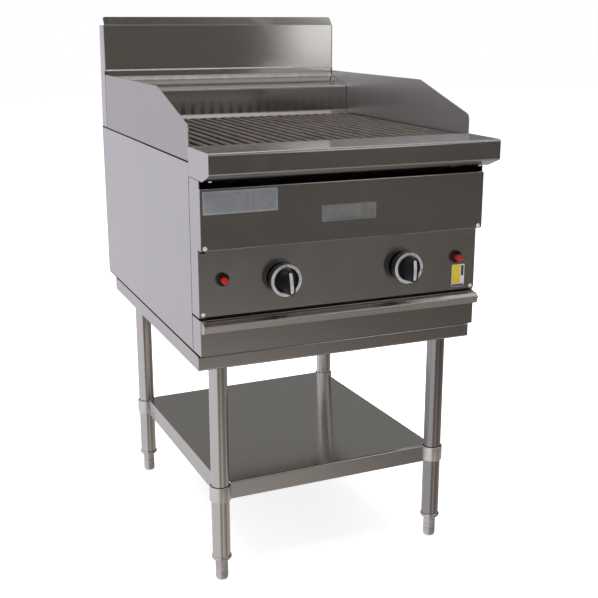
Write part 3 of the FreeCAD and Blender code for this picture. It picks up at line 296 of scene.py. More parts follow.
# Painted light: a lighter copy of the side splash steel, for the right side splash.
steel("steel_splash_painted_light", 2, (0.95, 0.94, 0.92), 0.34, anisotropy=0.3)
steel("steel_lip", 0, STEEL, 0.26, anisotropy=0.5)
satin_metal("steel_trim", (0.70, 0.69, 0.67), 0.36, metallic=0.45)
steel("liner", 0, (0.34, 0.315, 0.29), 0.42, mottle=0.12, stain=0.8)
cast_iron("iron", (0.100, 0.090, 0.085), (0.150, 0.112, 0.096), 0.66)
cast_iron("radiant", (0.10, 0.085, 0.07), (0.20, 0.10, 0.05), 0.62)
plastic("black", (0.007, 0.007, 0.008), 0.30, specular=0.28)
plastic("red", (0.42, 0.012, 0.010), 0.22, relief=0.04, dust=0.1)
satin_metal("dial", (0.80, 0.80, 0.81), 0.30, metallic=0.55)
satin_metal("brass", (0.66, 0.48, 0.22), 0.35)
satin_metal("pipe", (0.045, 0.043, 0.042), 0.5, metallic=0.5)
satin_metal("foil", (0.36, 0.365, 0.375), 0.42, metallic=0.35)
satin_metal("zinc", (0.86, 0.83, 0.80), 0.40)
satin_metal("bright", (0.93, 0.93, 0.92), 0.30, metallic=0.25)
steel("collar", 2, (0.95, 0.91, 0.88), 0.32, anisotropy=0.3)
steel("steel_front", 0, STEEL, 0.17, anisotropy=0.6)
steel("steel_riser", 0, STEEL, 0.12, anisotropy=0.2, riser_reflection_and_shade=True)
steel("steel_mirror", 0, STEEL, 0.105, anisotropy=0.5)
satin_metal("badge", (0.27, 0.27, 0.27), 0.36, metallic=0.5)
plastic("shadow", (0.004, 0.004, 0.004), 0.9, relief=0.02, dust=0.02)
satin_metal("seam", (0.13, 0.125, 0.12), 0.5, metallic=0.4)
plastic("ink", (0.01, 0.01, 0.012), 0.5, relief=0.02, dust=0.05)
satin_metal("print_grey", (0.30, 0.315, 0.33), 0.42, metallic=0.25)
satin_metal("print_mid", (0.245, 0.255, 0.27), 0.45, metallic=0.2)
plastic("print_dark", (0.035, 0.035, 0.04), 0.45, relief=0.03, dust=0.1)
plastic("print_blue", (0.03, 0.035, 0.24), 0.4, relief=0.03, dust=0.1)
plastic("paper_white", (0.62, 0.62, 0.64), 0.45, relief=0.03, dust=0.1)
plastic("yellow", (0.62, 0.48, 0.02), 0.4, relief=0.05, dust=0.2)

# The CAD nodes that stay in view. The rest are replaced by the pieces below.
NODE_MATERIALS = {
    "steel_x": [
        "stand_rail_front", "stand_rail_back", "undershelf", "back_panel",
        "upper_front_panel", "landing_ledge", "flue_back",
        "drawer_front", "drawer_tray", "drawer_runners",
    ],
    "steel_lip": ["drawer_lip"],
    "steel_front": ["control_panel"],
    "steel_riser": ["flue_riser"],
    "steel_mirror": ["splashback"],
    "steel_y": [part + side for part in ("stand_rail_", "side_panel_", "cheek_") for side in SIDES],
    "steel_splash": ["side_splash_left"],
    "steel_splash_painted_light": ["side_splash_right"],
    "tube": ["leg_front_left", "leg_back_left", "leg_back_right", "leg_sockets"],
    "tube_painted_shade": ["leg_front_right"],
    "liner": ["firebox_sides", "firebox_ends", "grate_rests", "radiant_rack"],
    "iron": ["burner_left", "burner_right"],
    "brass": ["gas_valves", "spindle_left", "spindle_right"],
    "pipe": ["gas_manifold", "gas_inlet_pipe"],
}


def paint_nodes():
    """Give each CAD node in view its material."""
    for key, names in NODE_MATERIALS.items():
        for name in names:
            mesh = NODES[name].data
            mesh.materials.clear()
            mesh.materials.append(MATERIALS[key])


paint_nodes()


# ---- Mesh helpers

FORWARD = (0, -1, 0)
UPWARD = (0, 0, 1)


def new_object(name, data):
    """Object with this data, linked into the scene."""
    made = bpy.data.objects.new(name, data)
    bpy.context.scene.collection.objects.link(made)
    return made


def make_piece(name, bm, keys, node=None, body="frame", sharp=32.0):
    """Turn a mesh under construction into a piece, which replaces a CAD node and rides on its body,
    or adds to the body that is named."""
    bmesh.ops.recalc_face_normals(bm, faces=bm.faces)
    mesh = bpy.data.meshes.new(name)
    bm.to_mesh(mesh)
    bm.free()
    mesh.shade_smooth()
    mesh.set_sharp_from_angle(angle=math.radians(sharp))
    for key in keys:
        mesh.materials.append(MATERIALS[key])
    piece = new_object(name, mesh)
    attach(piece, BODY_OF[node] if node else body)
    if node:
        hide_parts(node)


def facing(x, y, z, outward, turn=0.0):
    """Frame at a point with local Z along outward; on the front, local X is +X and local Y is up."""
    z_axis = Vector(outward).normalized()
    guide = Vector((1, 0, 0)) if abs(z_axis.x) < 0.9 else Vector((0, 1, 0))
    y_axis = z_axis.cross(guide).normalized()
    x_axis = y_axis.cross(z_axis)
    turned = Matrix.Rotation(math.radians(turn), 4, "Z")
    basis = Matrix((x_axis, y_axis, z_axis)).transposed().to_4x4()
    return Matrix.Translation((x, y, z)) @ basis @ turned


def on_foot(low, high):
    """Frame at the middle of the foot of a box, with local Z up."""
    middle = (low + high) / 2
    return facing(middle.x, middle.y, low.z, UPWARD)


def mirrored(points):
    """Closed outline from its right half, which ends on the middle line or is closed straight across."""
    return points + [(-x, height) for x, height in reversed(points) if x > 0]


def soften(points, radius, steps=4, closed=False):
    """Round the corners of a 2-D line with short curves."""
    result = []
    count = len(points)
    for i, point in enumerate(points):
        here = Vector(point)
        if not closed and i in (0, count - 1):
            result.append(here)
            continue
        before = Vector(points[i - 1]) - here
        after = Vector(points[(i + 1) % count]) - here
        cut = min(radius, before.length * 0.45, after.length * 0.45)
        start = here + before.normalized() * cut
        end = here + after.normalized() * cut
        for k in range(steps + 1):
            t = k / steps
            result.append(start * (1 - t) ** 2 + here * (2 * t * (1 - t)) + end * t ** 2)
    return result


def join_rings(bm, low, high, material=0):
    """Faces between two closed rings of vertices; a ring of one vertex is a pole."""
    count = max(len(low), len(high))
    for i in range(count):
        j = (i + 1) % count
        corners = [low[i % len(low)], low[j % len(low)], high[j % len(high)], high[i % len(high)]]
        distinct = list(dict.fromkeys(corners))
        if len(distinct) > 2:
            bm.faces.new(distinct).material_index = material


def loft(bm, rings, material=0):
    """Skin over a run of closed rings, with a face across each end."""
    for low, high in zip(rings, rings[1:]):
        join_rings(bm, low, high, material)
    bm.faces.new(rings[0][::-1]).material_index = material
    bm.faces.new(rings[-1]).material_index = material


def lathe(bm, profile, frame_at, segments=48, loop=False):
    """Turned shape: profile is a list of (radius, height) round local Z."""
    rings = []
    for radius, height in profile:
        if radius < 1e-7:
            rings.append([bm.verts.new(frame_at @ Vector((0, 0, height)))])
            continue
        ring = []
        for i in range(segments):
            a = 2 * math.pi * i / segments
            spot = Vector((radius * math.cos(a), radius * math.sin(a), height))
            ring.append(bm.verts.new(frame_at @ spot))
        rings.append(ring)
    followers = rings[1:] + rings[:1] if loop else rings[1:]
    for low, high in zip(rings, followers):
        join_rings(bm, low, high)


def rounded_rectangle(width, height, radius, steps=5):
    """Outline of a rectangle with rounded corners, centred on the origin."""
    radius = min(radius, width / 2 - 1e-6, height / 2 - 1e-6)
    outline = []
    for quarter, (sx, sy) in enumerate(((1, 1), (-1, 1), (-1, -1), (1, -1))):
        cx, cy = sx * (width / 2 - radius), sy * (height / 2 - radius)
        for k in range(steps + 1):
            a = math.pi / 2 * (quarter + k / steps)
            outline.append((cx + radius * math.cos(a), cy + radius * math.sin(a)))
    return outline


def stack_plate(bm, size, corner, levels, frame_at, material=0):
    """Plate with a stepped or bevelled face: levels are (inset, height), from the back to the middle."""
    rings = []
    for inset, height in levels:
        outline = rounded_rectangle(size[0] - 2 * inset, size[1] - 2 * inset, max(corner - inset, 0.0002))
        rings.append([bm.verts.new(frame_at @ Vector((x, y, height))) for x, y in outline])
    loft(bm, rings, material)


def islands(node):
    """Boxes of the separate solids of a CAD node."""
    bm = bmesh.new()
    bm.from_mesh(NODES[node].data)
    bmesh.ops.remove_doubles(bm, verts=bm.verts, dist=1e-6)
    unseen = set(bm.verts)
    found = []
    while unseen:
        queue = [unseen.pop()]
        low, high = queue[0].co.copy(), queue[0].co.copy()
        while queue:
            vert = queue.pop()
            low = Vector(map(min, low, vert.co))
            high = Vector(map(max, high, vert.co))
            for edge in vert.link_edges:
                other = edge.other_vert(vert)
                if other in unseen:
                    unseen.remove(other)
                    queue.append(other)
        found.append((low, high))
    bm.free()
    return sorted(found, key=lambda pair: tuple(round(v, 4) for v in (*pair[0], *pair[1])))


# ---- Controls

KNOB_LEAN = {"left": 5.0, "right": 0.5}
DIAL_SET_BACK = 27.5 * MM
SPINDLE_BORE = 4.2 * MM
DIAL_RING_INNER = 25.8 * MM
DIAL_RING_TOP = 1.75 * MM
GRIP_BASE_HALF = 15.0 * MM
GRIP_TIP_HALF = 7.9 * MM
GRIP_HALF_HEIGHT = 25.4 * MM
GRIP_DRAW = 1.2 * MM
GRIP_SET_BACK = 0.9 * MM
GRIP_ARCH = 3.6 * MM
GRIP_LEVELS = 12
GRIP_POINTS = 40
POINTER_HALF = 3.3 * MM
POINTER_REACH = 21.0 * MM
POINTER_STEPS = 14


def grip_arch(z, tip):
    """Height of the grip's domed front above the knob's back, at a distance z from its middle."""
    return tip - GRIP_ARCH * (z / GRIP_HALF_HEIGHT) ** 2


def grip_ring(bm, frame_at, half_width, half_height, level, base, tip):
    """One oval outline of the grip, a share of the way from its base to the domed front."""
    ring = []
    for i in range(GRIP_POINTS):
        a = 2 * math.pi * i / GRIP_POINTS
        c, s = math.cos(a), math.sin(a)
        x = half_width * math.copysign(abs(c) ** 0.55, c)
        y = half_height * math.copysign(abs(s) ** 0.45, s)
        height = base + (grip_arch(y, tip) - base) * level
        ring.append(bm.verts.new(frame_at @ Vector((x, y, height))))
    return ring


def knob_grip(bm, frame_at, base, tip):
    """Blade that flares into the hub and has a domed front."""
    rings = []
    for k in range(GRIP_LEVELS + 1):
        level = k / GRIP_LEVELS
        half_width = GRIP_TIP_HALF + (GRIP_BASE_HALF - GRIP_TIP_HALF) * (1 - level) ** 2.4
        half_height = GRIP_HALF_HEIGHT - GRIP_DRAW * level ** 2
        rings.append(grip_ring(bm, frame_at, half_width, half_height, level * 0.985, base, tip))
    for shrink in (0.90, 0.6, 0.3, 0.02):
        half_height = (GRIP_HALF_HEIGHT - GRIP_DRAW) * (0.97 + 0.015 * shrink)
        rings.append(grip_ring(bm, frame_at, GRIP_TIP_HALF * shrink, half_height, 1.0, base, tip))
    loft(bm, rings)


def build_knob(side):
    """Moulded knob: skirt with a raised rim, grip blade, dial ring and pointer."""
    node = "knob_" + side
    low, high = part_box(node)
    trim_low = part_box("knob_trim_" + side)[0]
    centre = (low + high) / 2
    outer = (high.x - low.x) / 2
    frame_at = facing(centre.x, high.y, centre.z, FORWARD, KNOB_LEAN[side])
    face = high.y - low.y - DIAL_SET_BACK
    tip = high.y - trim_low.y
    bm = bmesh.new()
    profile = [
        (SPINDLE_BORE, 0.0), (outer - 2.4 * MM, 0.0), (outer - 1.4 * MM, face - 3.2 * MM),
        (outer, face - 0.6 * MM), (outer - 0.2 * MM, face + 1.4 * MM), (outer - 0.9 * MM, face + 1.4 * MM),
        (outer - 1.0 * MM, face - 0.4 * MM), (25.7 * MM, face - 0.4 * MM), (25.3 * MM, face + 2.6 * MM),
        (24.2 * MM, face + 3.1 * MM), (22.6 * MM, face + 0.6 * MM), (12.0 * MM, face + 0.1 * MM), (0.0, face),
    ]
    lathe(bm, soften(profile, 0.8 * MM, 3), frame_at, 72)
    knob_grip(bm, frame_at, face - 0.5 * MM, tip - GRIP_SET_BACK)
    make_piece(node + "_moulded", bm, ["black"], node)
    build_trim(side, frame_at, face, tip)


def build_trim(side, frame_at, face, tip):
    """Satin dial ring with its index marks, and the pointer strip let into the grip."""
    node = "knob_trim_" + side
    low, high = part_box(node)
    outer = (high.x - low.x) / 2
    inner = DIAL_RING_INNER
    back = face - 0.3 * MM
    bm = bmesh.new()
    ring = [(inner, back), (outer, back), (outer, face + 1.7 * MM), (inner, face + 2.0 * MM)]
    lathe(bm, soften(ring, 0.45 * MM, 3, closed=True), frame_at, 96, loop=True)
    strip = []
    for k in range(POINTER_STEPS + 1):
        share = 2 * k / POINTER_STEPS - 1
        y = POINTER_REACH * share
        half = POINTER_HALF * (1 - 0.35 * max(0.0, abs(share) - 0.93) / 0.07)
        top = grip_arch(y, tip - GRIP_SET_BACK) + 0.8 * MM
        section = mirrored([(half, top - 1.6 * MM), (half, top - 0.25 * MM), (half - 0.3 * MM, top)])
        strip.append([bm.verts.new(frame_at @ Vector((x, y, z))) for x, z in section])
    loft(bm, strip)
    make_piece(node + "_satin", bm, ["dial"], node)
    build_dial_marks(side, frame_at, face + DIAL_RING_TOP, inner, outer)


def build_dial_marks(side, frame_at, height, inner, outer):
    """Index marks on the dial ring: a long stroke at off, then dots that grow round the ring."""
    bm = bmesh.new()
    middle = (inner + outer) / 2
    marks = [(88.0, 0.45 * MM, (outer - inner) * 0.42)]
    for angle, half in ((66.0, 0.75 * MM), (44.0, 0.9 * MM), (16.0, 0.95 * MM), (-12.0, 1.1 * MM)):
        marks.append((angle, half, half))
    for angle, half_width, half_length in marks:
        a = math.radians(angle)
        at = frame_at @ Matrix.Translation((middle * math.cos(a), middle * math.sin(a), height))
        at = at @ Matrix.Rotation(a - math.pi / 2, 4, "Z")
        levels = [(0.0, -0.3 * MM), (0.0, 0.1 * MM), (0.15 * MM, 0.22 * MM)]
        stack_plate(bm, (2 * half_width, 2 * half_length), 0.4 * MM, levels, at)
    make_piece("dial_marks_" + side, bm, ["ink"], body=BODY_OF["knob_trim_" + side])


BEZEL_STEM = 9.9 * MM
BEZEL_DEPTH = 30 * MM


def build_igniters():
    """Domed buttons in moulded bezels with a stem behind the panel."""
    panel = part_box("control_panel")[0].y
    bezel_bm = bmesh.new()
    for side, (bezel_low, bezel_high) in zip(SIDES, islands("igniter_bezels")):
        node = "igniter_button_" + side
        low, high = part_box(node)
        centre = (low + high) / 2
        frame_at = facing(centre.x, panel, centre.z, FORWARD)
        radius = (high.x - low.x) / 2
        outer = (bezel_high.x - bezel_low.x) / 2
        rise = panel - bezel_low.y
        bore = radius + 0.1 * MM
        profile = [
            (bore, -BEZEL_DEPTH), (BEZEL_STEM, -BEZEL_DEPTH), (BEZEL_STEM, 0.05 * MM), (outer, 0.05 * MM),
            (outer, rise * 0.55), (outer - 1.3 * MM, rise * 0.8), (outer - 2.6 * MM, rise),
            (bore + 1.6 * MM, rise), (bore, rise - 1.6 * MM),
        ]
        lathe(bezel_bm, soften(profile, 0.7 * MM, 3, closed=True), frame_at, 56, loop=True)
        tip = panel - low.y
        root = panel - high.y
        button = [
            (0.0, root), (radius, root), (radius, tip - 2.4 * MM), (radius - 0.7 * MM, tip - 1.0 * MM),
            (radius * 0.6, tip - 0.25 * MM), (0.0, tip),
        ]
        bm = bmesh.new()
        lathe(bm, soften(button, 1.0 * MM, 4), frame_at, 48)
        make_piece(node + "_domed", bm, ["red"], node)
    make_piece("igniter_bezel_rings", bezel_bm, ["black"], "igniter_bezels")


# ---- Screws and plates

# The cross recess, in shares of the head's radius.
RECESS_HALF = 0.10
RECESS_REACH = 0.62
SCREW_CELLS = 20


def on_disc(u, v):
    """Square grid to disc, keeping the two middle lines straight."""
    return Vector((u * math.sqrt(1 - v * v / 2), v * math.sqrt(1 - u * u / 2)))


def screw_head(bm, radius, rise, frame_at):
    """Domed head with a cross recess, seen from outside."""
    grid = []
    for j in range(SCREW_CELLS + 1):
        row = []
        for i in range(SCREW_CELLS + 1):
            u, v = 2 * i / SCREW_CELLS - 1, 2 * j / SCREW_CELLS - 1
            spot = on_disc(u, v)
            height = rise * (1 - 0.72 * spot.length ** 3)
            across, along = sorted((abs(u), abs(v)))
            if across <= RECESS_HALF + 1e-6 and along <= RECESS_REACH:
                height -= rise * 0.62 * (1 - along * 0.5)
            row.append(bm.verts.new(frame_at @ Vector((radius * spot.x, radius * spot.y, height))))
        grid.append(row)
    for j in range(SCREW_CELLS):
        for i in range(SCREW_CELLS):
            bm.faces.new((grid[j][i], grid[j][i + 1], grid[j + 1][i + 1], grid[j + 1][i]))
    last = SCREW_CELLS
    rim = grid[0][:-1] + [row[last] for row in grid[:-1]]
    rim += grid[last][:0:-1] + [row[0] for row in grid[:0:-1]]
    inverse = frame_at.inverted()
    foot = []
    for vert in rim:
        spot = inverse @ vert.co
        foot.append(bm.verts.new(frame_at @ Vector((spot.x, spot.y, -0.2 * MM))))
    join_rings(bm, foot, rim)


def build_screws():
    """Panel screws, each turned to its own angle, on the front and under the ledge."""
    bm = bmesh.new()
    for i, (low, high) in enumerate(islands("panel_screws")):
        size = high - low
        middle = (low + high) / 2
        faces_down = size.z < size.y
        if faces_down:
            frame_at = facing(middle.x, middle.y, high.z, (0, 0, -1), 17.0 * i)
        else:
            frame_at = facing(middle.x, high.y, middle.z, FORWARD, 23.0 * i)
        screw_head(bm, size.x / 2, min(size.y, size.z), frame_at)
    make_piece("panel_screw_heads", bm, ["bright"], "panel_screws", sharp=40)


def plate_frame(node):
    """Frame on the back of a plate that faces forward, its width and height, and its thickness."""
    low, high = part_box(node)
    middle = (low + high) / 2
    frame_at = facing(middle.x, high.y, middle.z, FORWARD)
    return frame_at, (high.x - low.x, high.z - low.z), high.y - low.y


def build_badge():
    """Blank badge: raised rim round a recessed field."""
    frame_at, size, thickness = plate_frame("badge_plate")
    bm = bmesh.new()
    levels = [
        (0.0, 0.0), (0.0, thickness - 0.8 * MM), (0.7 * MM, thickness - 0.1 * MM), (1.0 * MM, thickness),
        (2.3 * MM, thickness), (2.8 * MM, thickness - 0.7 * MM),
    ]
    stack_plate(bm, size, 1.6 * MM, levels, frame_at)
    make_piece("badge_blank", bm, ["badge"], "badge_plate", sharp=24)


def flat_patch(bm, x_range, y_range, height, thickness, frame_at, material):
    """Thin rectangular patch with bevelled edges on a plate."""
    middle = Matrix.Translation((sum(x_range) / 2, sum(y_range) / 2, 0))
    size = (x_range[1] - x_range[0], y_range[1] - y_range[0])
    edge = thickness * 0.4
    levels = [(0.0, height), (0.0, height + thickness - edge), (edge, height + thickness)]
    stack_plate(bm, size, edge, levels, frame_at @ middle, material)


def build_notice():
    """Plain foil notice: two blank fields inside a margin, with no lettering."""
    frame_at, (width, height), thickness = plate_frame("notice_plate")
    bm = bmesh.new()
    levels = [(0.0, 0.0), (0.0, thickness * 0.4), (0.15 * MM, thickness * 0.5)]
    stack_plate(bm, (width, height), 1.5 * MM, levels, frame_at, 0)
    face = thickness * 0.5
    film = thickness * 0.3
    margin = 2.2 * MM
    x0, y0 = -width / 2 + margin, -height / 2 + margin
    flat_patch(bm, (x0, -x0), (y0, -y0), face, film, frame_at, 1)
    split = x0 + (width - 2 * margin) * 0.62
    for x_range in ((x0 + 2 * MM, split), (split + 2 * MM, -x0 - 2 * MM)):
        flat_patch(bm, x_range, (y0 + 2 * MM, -y0 - 2 * MM), face + film, film * 0.5, frame_at, 2)
    keys = ["foil", "print_grey", "print_mid"]
    make_piece("notice_foil", bm, keys, "notice_plate", sharp=24)


def build_sticker():
    """Label made plain: yellow field, white column on the right with a dark patch, blue foot strip."""
    frame_at, (width, height), thickness = plate_frame("sticker")
    bm = bmesh.new()
    base = thickness * 0.5
    levels = [(0.0, 0.0), (0.0, base * 0.8), (0.1 * MM, base)]
    stack_plate(bm, (width, height), 1.0 * MM, levels, frame_at, 1)
    film = thickness * 0.35
    edge = 0.8 * MM
    x0, x1 = -width / 2 + edge, width / 2 - edge
    y0, y1 = -height / 2 + edge, height / 2 - edge
    column = x0 + (x1 - x0) * 0.70
    foot = y0 + (y1 - y0) * 0.09
    flat_patch(bm, (x0, column), (foot + 0.6 * MM, y1), base, film, frame_at, 0)
    flat_patch(bm, (x0, x1), (y0, foot), base, film, frame_at, 2)
    dark_x, dark_y = (column + 1.6 * MM, x1 - 1.2 * MM), (y0 + (y1 - y0) * 0.48, y1 - 2 * MM)
    flat_patch(bm, dark_x, dark_y, base, film, frame_at, 3)
    keys = ["yellow", "paper_white", "print_blue", "print_dark"]
    make_piece("sticker_blank", bm, keys, "sticker", sharp=24)


# ---- Grates and radiants

BAR_STATIONS = 72
TIE_STATIONS = 36
BAR_FOOT_HALF = 3.2 * MM
CAST_FOOT = 0.4 * MM
CAST_CLEARANCE = 0.3 * MM


def cast_wobble(point, size, amount):
    """Small irregularity of a sand-cast surface."""
    return noise.noise_vector(point / size) * amount


def cast_bar(bm, section, start, along, length, stations, taper):
    """Cast bar: section is a closed (across, height) outline swept along, drawn in at both ends."""
    across = Vector((0, 0, 1)).cross(along)
    rings = []
    for k in range(stations + 1):
        share = k / stations
        run = length * share
        to_end = min(run, length - run)
        pull = min(1.0, 0.72 + 0.28 * math.sqrt(max(0.0, to_end / taper)))
        centre = start + along * run
        ring = []
        for a, h in section:
            rise = h if h < 2 * MM else h * (0.96 + 0.04 * pull)
            spot = centre + across * (a * pull) + Vector((0, 0, rise))
            wobble = cast_wobble(spot, 9 * MM, 0.22 * MM) + cast_wobble(spot, 40 * MM, 0.25 * MM)
            wobble.z = min(wobble.z, 0.0) * 1.4
            ring.append(bm.verts.new(spot + wobble))
        rings.append(ring)
    loft(bm, rings)


def grate_bar(bm, low, high):
    """Front-to-back bar with a narrow foot and a crowned top."""
    size = high - low
    half, top = size.x / 2 - CAST_CLEARANCE, size.z
    outline = mirrored([
        (BAR_FOOT_HALF, CAST_FOOT), (half, top - 3.0 * MM), (half * 0.72, top - 0.5 * MM), (0.0, top)])
    section = soften(outline, 1.1 * MM, 2, closed=True)
    start = Vector(((low.x + high.x) / 2, low.y + 0.4 * MM, low.z))
    cast_bar(bm, section, start, Vector((0, 1, 0)), size.y - 0.8 * MM, BAR_STATIONS, 7 * MM)


def grate_tie(bm, low, high):
    """Cross tie that runs into the undersides of the bars."""
    size = high - low
    half, top = size.y / 2 - CAST_CLEARANCE, size.z + 1.2 * MM
    section = soften(mirrored([(half, CAST_FOOT), (half * 0.8, top)]), 1.2 * MM, 2, closed=True)
    start = Vector((low.x + CAST_CLEARANCE, (low.y + high.y) / 2, low.z))
    cast_bar(bm, section, start, Vector((1, 0, 0)), size.x - 2 * CAST_CLEARANCE, TIE_STATIONS, 4 * MM)


def build_grates():
    """Lift-out cast sections: tapered bars with a crowned top, on cross ties."""
    for index in range(1, 5):
        node = "grate_%d" % index
        bm = bmesh.new()
        for low, high in islands(node):
            build = grate_bar if high.y - low.y > high.x - low.x else grate_tie
            build(bm, low, high)
        make_piece(node + "_cast", bm, ["iron"], node, sharp=50)


RIB_PITCH = 26.0 * MM
RIB_SHARE = 0.34
RIB_RELIEF = 3.0 * MM
RADIANT_STATIONS = 150
RADIANT_WALL = 8 * MM


def build_radiants():
    """Ribbed cast radiants, like a row of small roofs over the burners."""
    bm = bmesh.new()
    for low, high in islands("radiants"):
        middle = (low.x + high.x) / 2
        half = (high.x - low.x) / 2
        rise = high.z - low.z
        length = high.y - low.y
        rings = []
        for k in range(RADIANT_STATIONS + 1):
            y = low.y + length * k / RADIANT_STATIONS
            phase = ((y - low.y) / RIB_PITCH) % 1.0
            on_rib = phase < RIB_SHARE or k in (0, RADIANT_STATIONS)
            drop = 0.0 if on_rib else RIB_RELIEF
            outline = mirrored([
                (0.0, rise - 6.5 * MM), (half - RADIANT_WALL, 0.0), (half, 0.0),
                (half - 1.0 * MM, 2.0 * MM - drop * 0.3), (3.0 * MM, rise - 1.5 * MM - drop),
                (0.0, rise - drop),
            ])
            ring = []
            for x, h in outline:
                spot = Vector((middle + x, y, low.z + h))
                wobble = cast_wobble(spot, 14 * MM, 0.5 * MM)
                wobble.x *= 0.3 if abs(x) > half - 2 * MM else 1.0
                wobble.z = -abs(wobble.z) if h > rise - 1 * MM else 0.0
                wobble.y = 0.0
                ring.append(bm.verts.new(spot + wobble))
            rings.append(ring)
        loft(bm, rings)
    make_piece("radiant_castings", bm, ["radiant"], "radiants", sharp=30)


# ---- Stand details

def build_feet():
    """Turned foot stems with a rounded toe, a wrench groove and a worn ring above it."""
    for corner in CORNERS:
        node = "foot_" + corner
        low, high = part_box(node)
        radius, top = (high.x - low.x) / 2, high.z - low.z
        groove = radius - 0.7 * MM
        scratch = radius - 0.5 * MM
        profile = [
            (0.0, 0.0), (radius - 4.5 * MM, 0.0), (radius - 1.6 * MM, 1.2 * MM), (radius, 5.0 * MM),
            (radius, 19.0 * MM), (groove, 19.6 * MM), (groove, 21.0 * MM), (radius, 21.6 * MM),
            (radius, 30.0 * MM), (scratch, 30.4 * MM), (scratch, 31.2 * MM), (radius, 31.6 * MM),
            (radius, top - 1 * MM), (radius - 1 * MM, top), (0.0, top),
        ]
        bm = bmesh.new()
        lathe(bm, soften(profile, 0.9 * MM, 3), on_foot(low, high), 56)
        make_piece(node + "_turned", bm, ["zinc"], node)


INSERT_BEAD = 9.0 * MM
INSERT_BORE = 13.56 * MM
INSERT_PLUG = 17.4 * MM


def build_inserts():
    """Foot inserts: a rounded bead under the tube end and a plug inside it."""
    bm = bmesh.new()
    for low, high in islands("foot_inserts"):
        outer, top = (high.x - low.x) / 2, high.z - low.z
        shoulder = INSERT_BEAD - 0.05 * MM
        profile = [
            (INSERT_BORE, 0.0), (outer - 2.6 * MM, 0.0), (outer - 0.2 * MM, 2.4 * MM), (outer, 4.6 * MM),
            (outer - 0.3 * MM, 6.9 * MM), (outer - 1.8 * MM, shoulder), (INSERT_PLUG, shoulder),
            (INSERT_PLUG, top), (INSERT_BORE, top),
        ]
        lathe(bm, soften(profile, 0.9 * MM, 3, closed=True), on_foot(low, high), 64, loop=True)
    make_piece("foot_insert_beads", bm, ["tube"], "foot_inserts")


def build_collars():
    """Clamp collars with eased edges, a black ring of painted shadow in the gap above and a grub screw on the
    inner side.
    """
    bm = bmesh.new()
    gap_bm = bmesh.new()
    screw_bm = bmesh.new()
    leg_low, leg_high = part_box("leg_front_left")
    inner = (leg_high.x - leg_low.x) / 2 + 0.06 * MM
    for low, high in islands("shelf_collars"):
        middle = (low + high) / 2
        outer, height = (high.x - low.x) / 2, high.z - low.z
        frame_at = on_foot(low, high)
        profile = [
            (inner, 0.0), (outer - 0.5 * MM, 0.0), (outer, 0.8 * MM), (outer, height - 1.6 * MM),
            (outer - 0.9 * MM, height - 0.3 * MM), (inner + 0.9 * MM, height), (inner, height - 0.8 * MM),
        ]
        lathe(bm, soften(profile, 0.6 * MM, 3, closed=True), frame_at, 64, loop=True)
        gap = [
            (inner, height - 0.2 * MM), (inner + 1.7 * MM, height - 0.2 * MM),
            (inner + 1.2 * MM, height + 0.35 * MM), (inner, height + 0.5 * MM),
        ]
        lathe(gap_bm, gap, frame_at, 64, loop=True)
        inward = Vector((-math.copysign(1, middle.x), 0, 0))
        seat = middle + inward * (outer - 0.6 * MM)
        head = [
            (0.0, 0.2 * MM), (1.4 * MM, 0.2 * MM), (1.5 * MM, 0.9 * MM), (2.8 * MM, 0.9 * MM),
            (3.0 * MM, 0.5 * MM), (3.0 * MM, -0.6 * MM),
        ]
        lathe(screw_bm, soften(head, 0.25 * MM, 2), facing(*seat, inward), 28)
    make_piece("shelf_collar_rings", bm, ["collar"], "shelf_collars")
    make_piece("collar_gap_shadow_rings", gap_bm, ["shadow"])
    make_piece("collar_grub_screws", screw_bm, ["zinc"])


# ---- Seams and painted shadows

def eased_box(bm, x_range, y_range, z_range, ease=0.3 * MM):
    """Box with small bevels on its twelve edges."""
    low, high = (Vector(corner) for corner in zip(sorted(x_range), y_range, z_range))
    size, middle = high - low, (low + high) / 2
    place = Matrix.Translation(middle) @ Matrix.Diagonal((*size, 1))
    made = bmesh.ops.create_cube(bm, size=1.0, matrix=place)
    edges = list({edge for vert in made["verts"] for edge in vert.link_edges})
    bmesh.ops.bevel(bm, geom=edges, offset=ease, segments=2, profile=0.5, affect="EDGES")


def build_air_slot_painted_shadow():
    """Painted shadow: black sheet behind the air slot under the ledge, closed at both ends."""
    panel_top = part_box("upper_front_panel")[1]
    ledge_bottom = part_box("landing_ledge")[0].z
    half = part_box("cheek_right")[1].x - 1.7 * MM
    front, back = panel_top.y + 1.0 * MM, panel_top.y + 16 * MM
    tall = (panel_top.z - 6 * MM, ledge_bottom + 6 * MM)
    bm = bmesh.new()
    eased_box(bm, (-half, half), (back, back + 1 * MM), tall)
    for side in (-1, 1):
        eased_box(bm, (side * half, side * (half - 1 * MM)), (front, back), tall)
    make_piece("air_slot_painted_shadow", bm, ["shadow"])


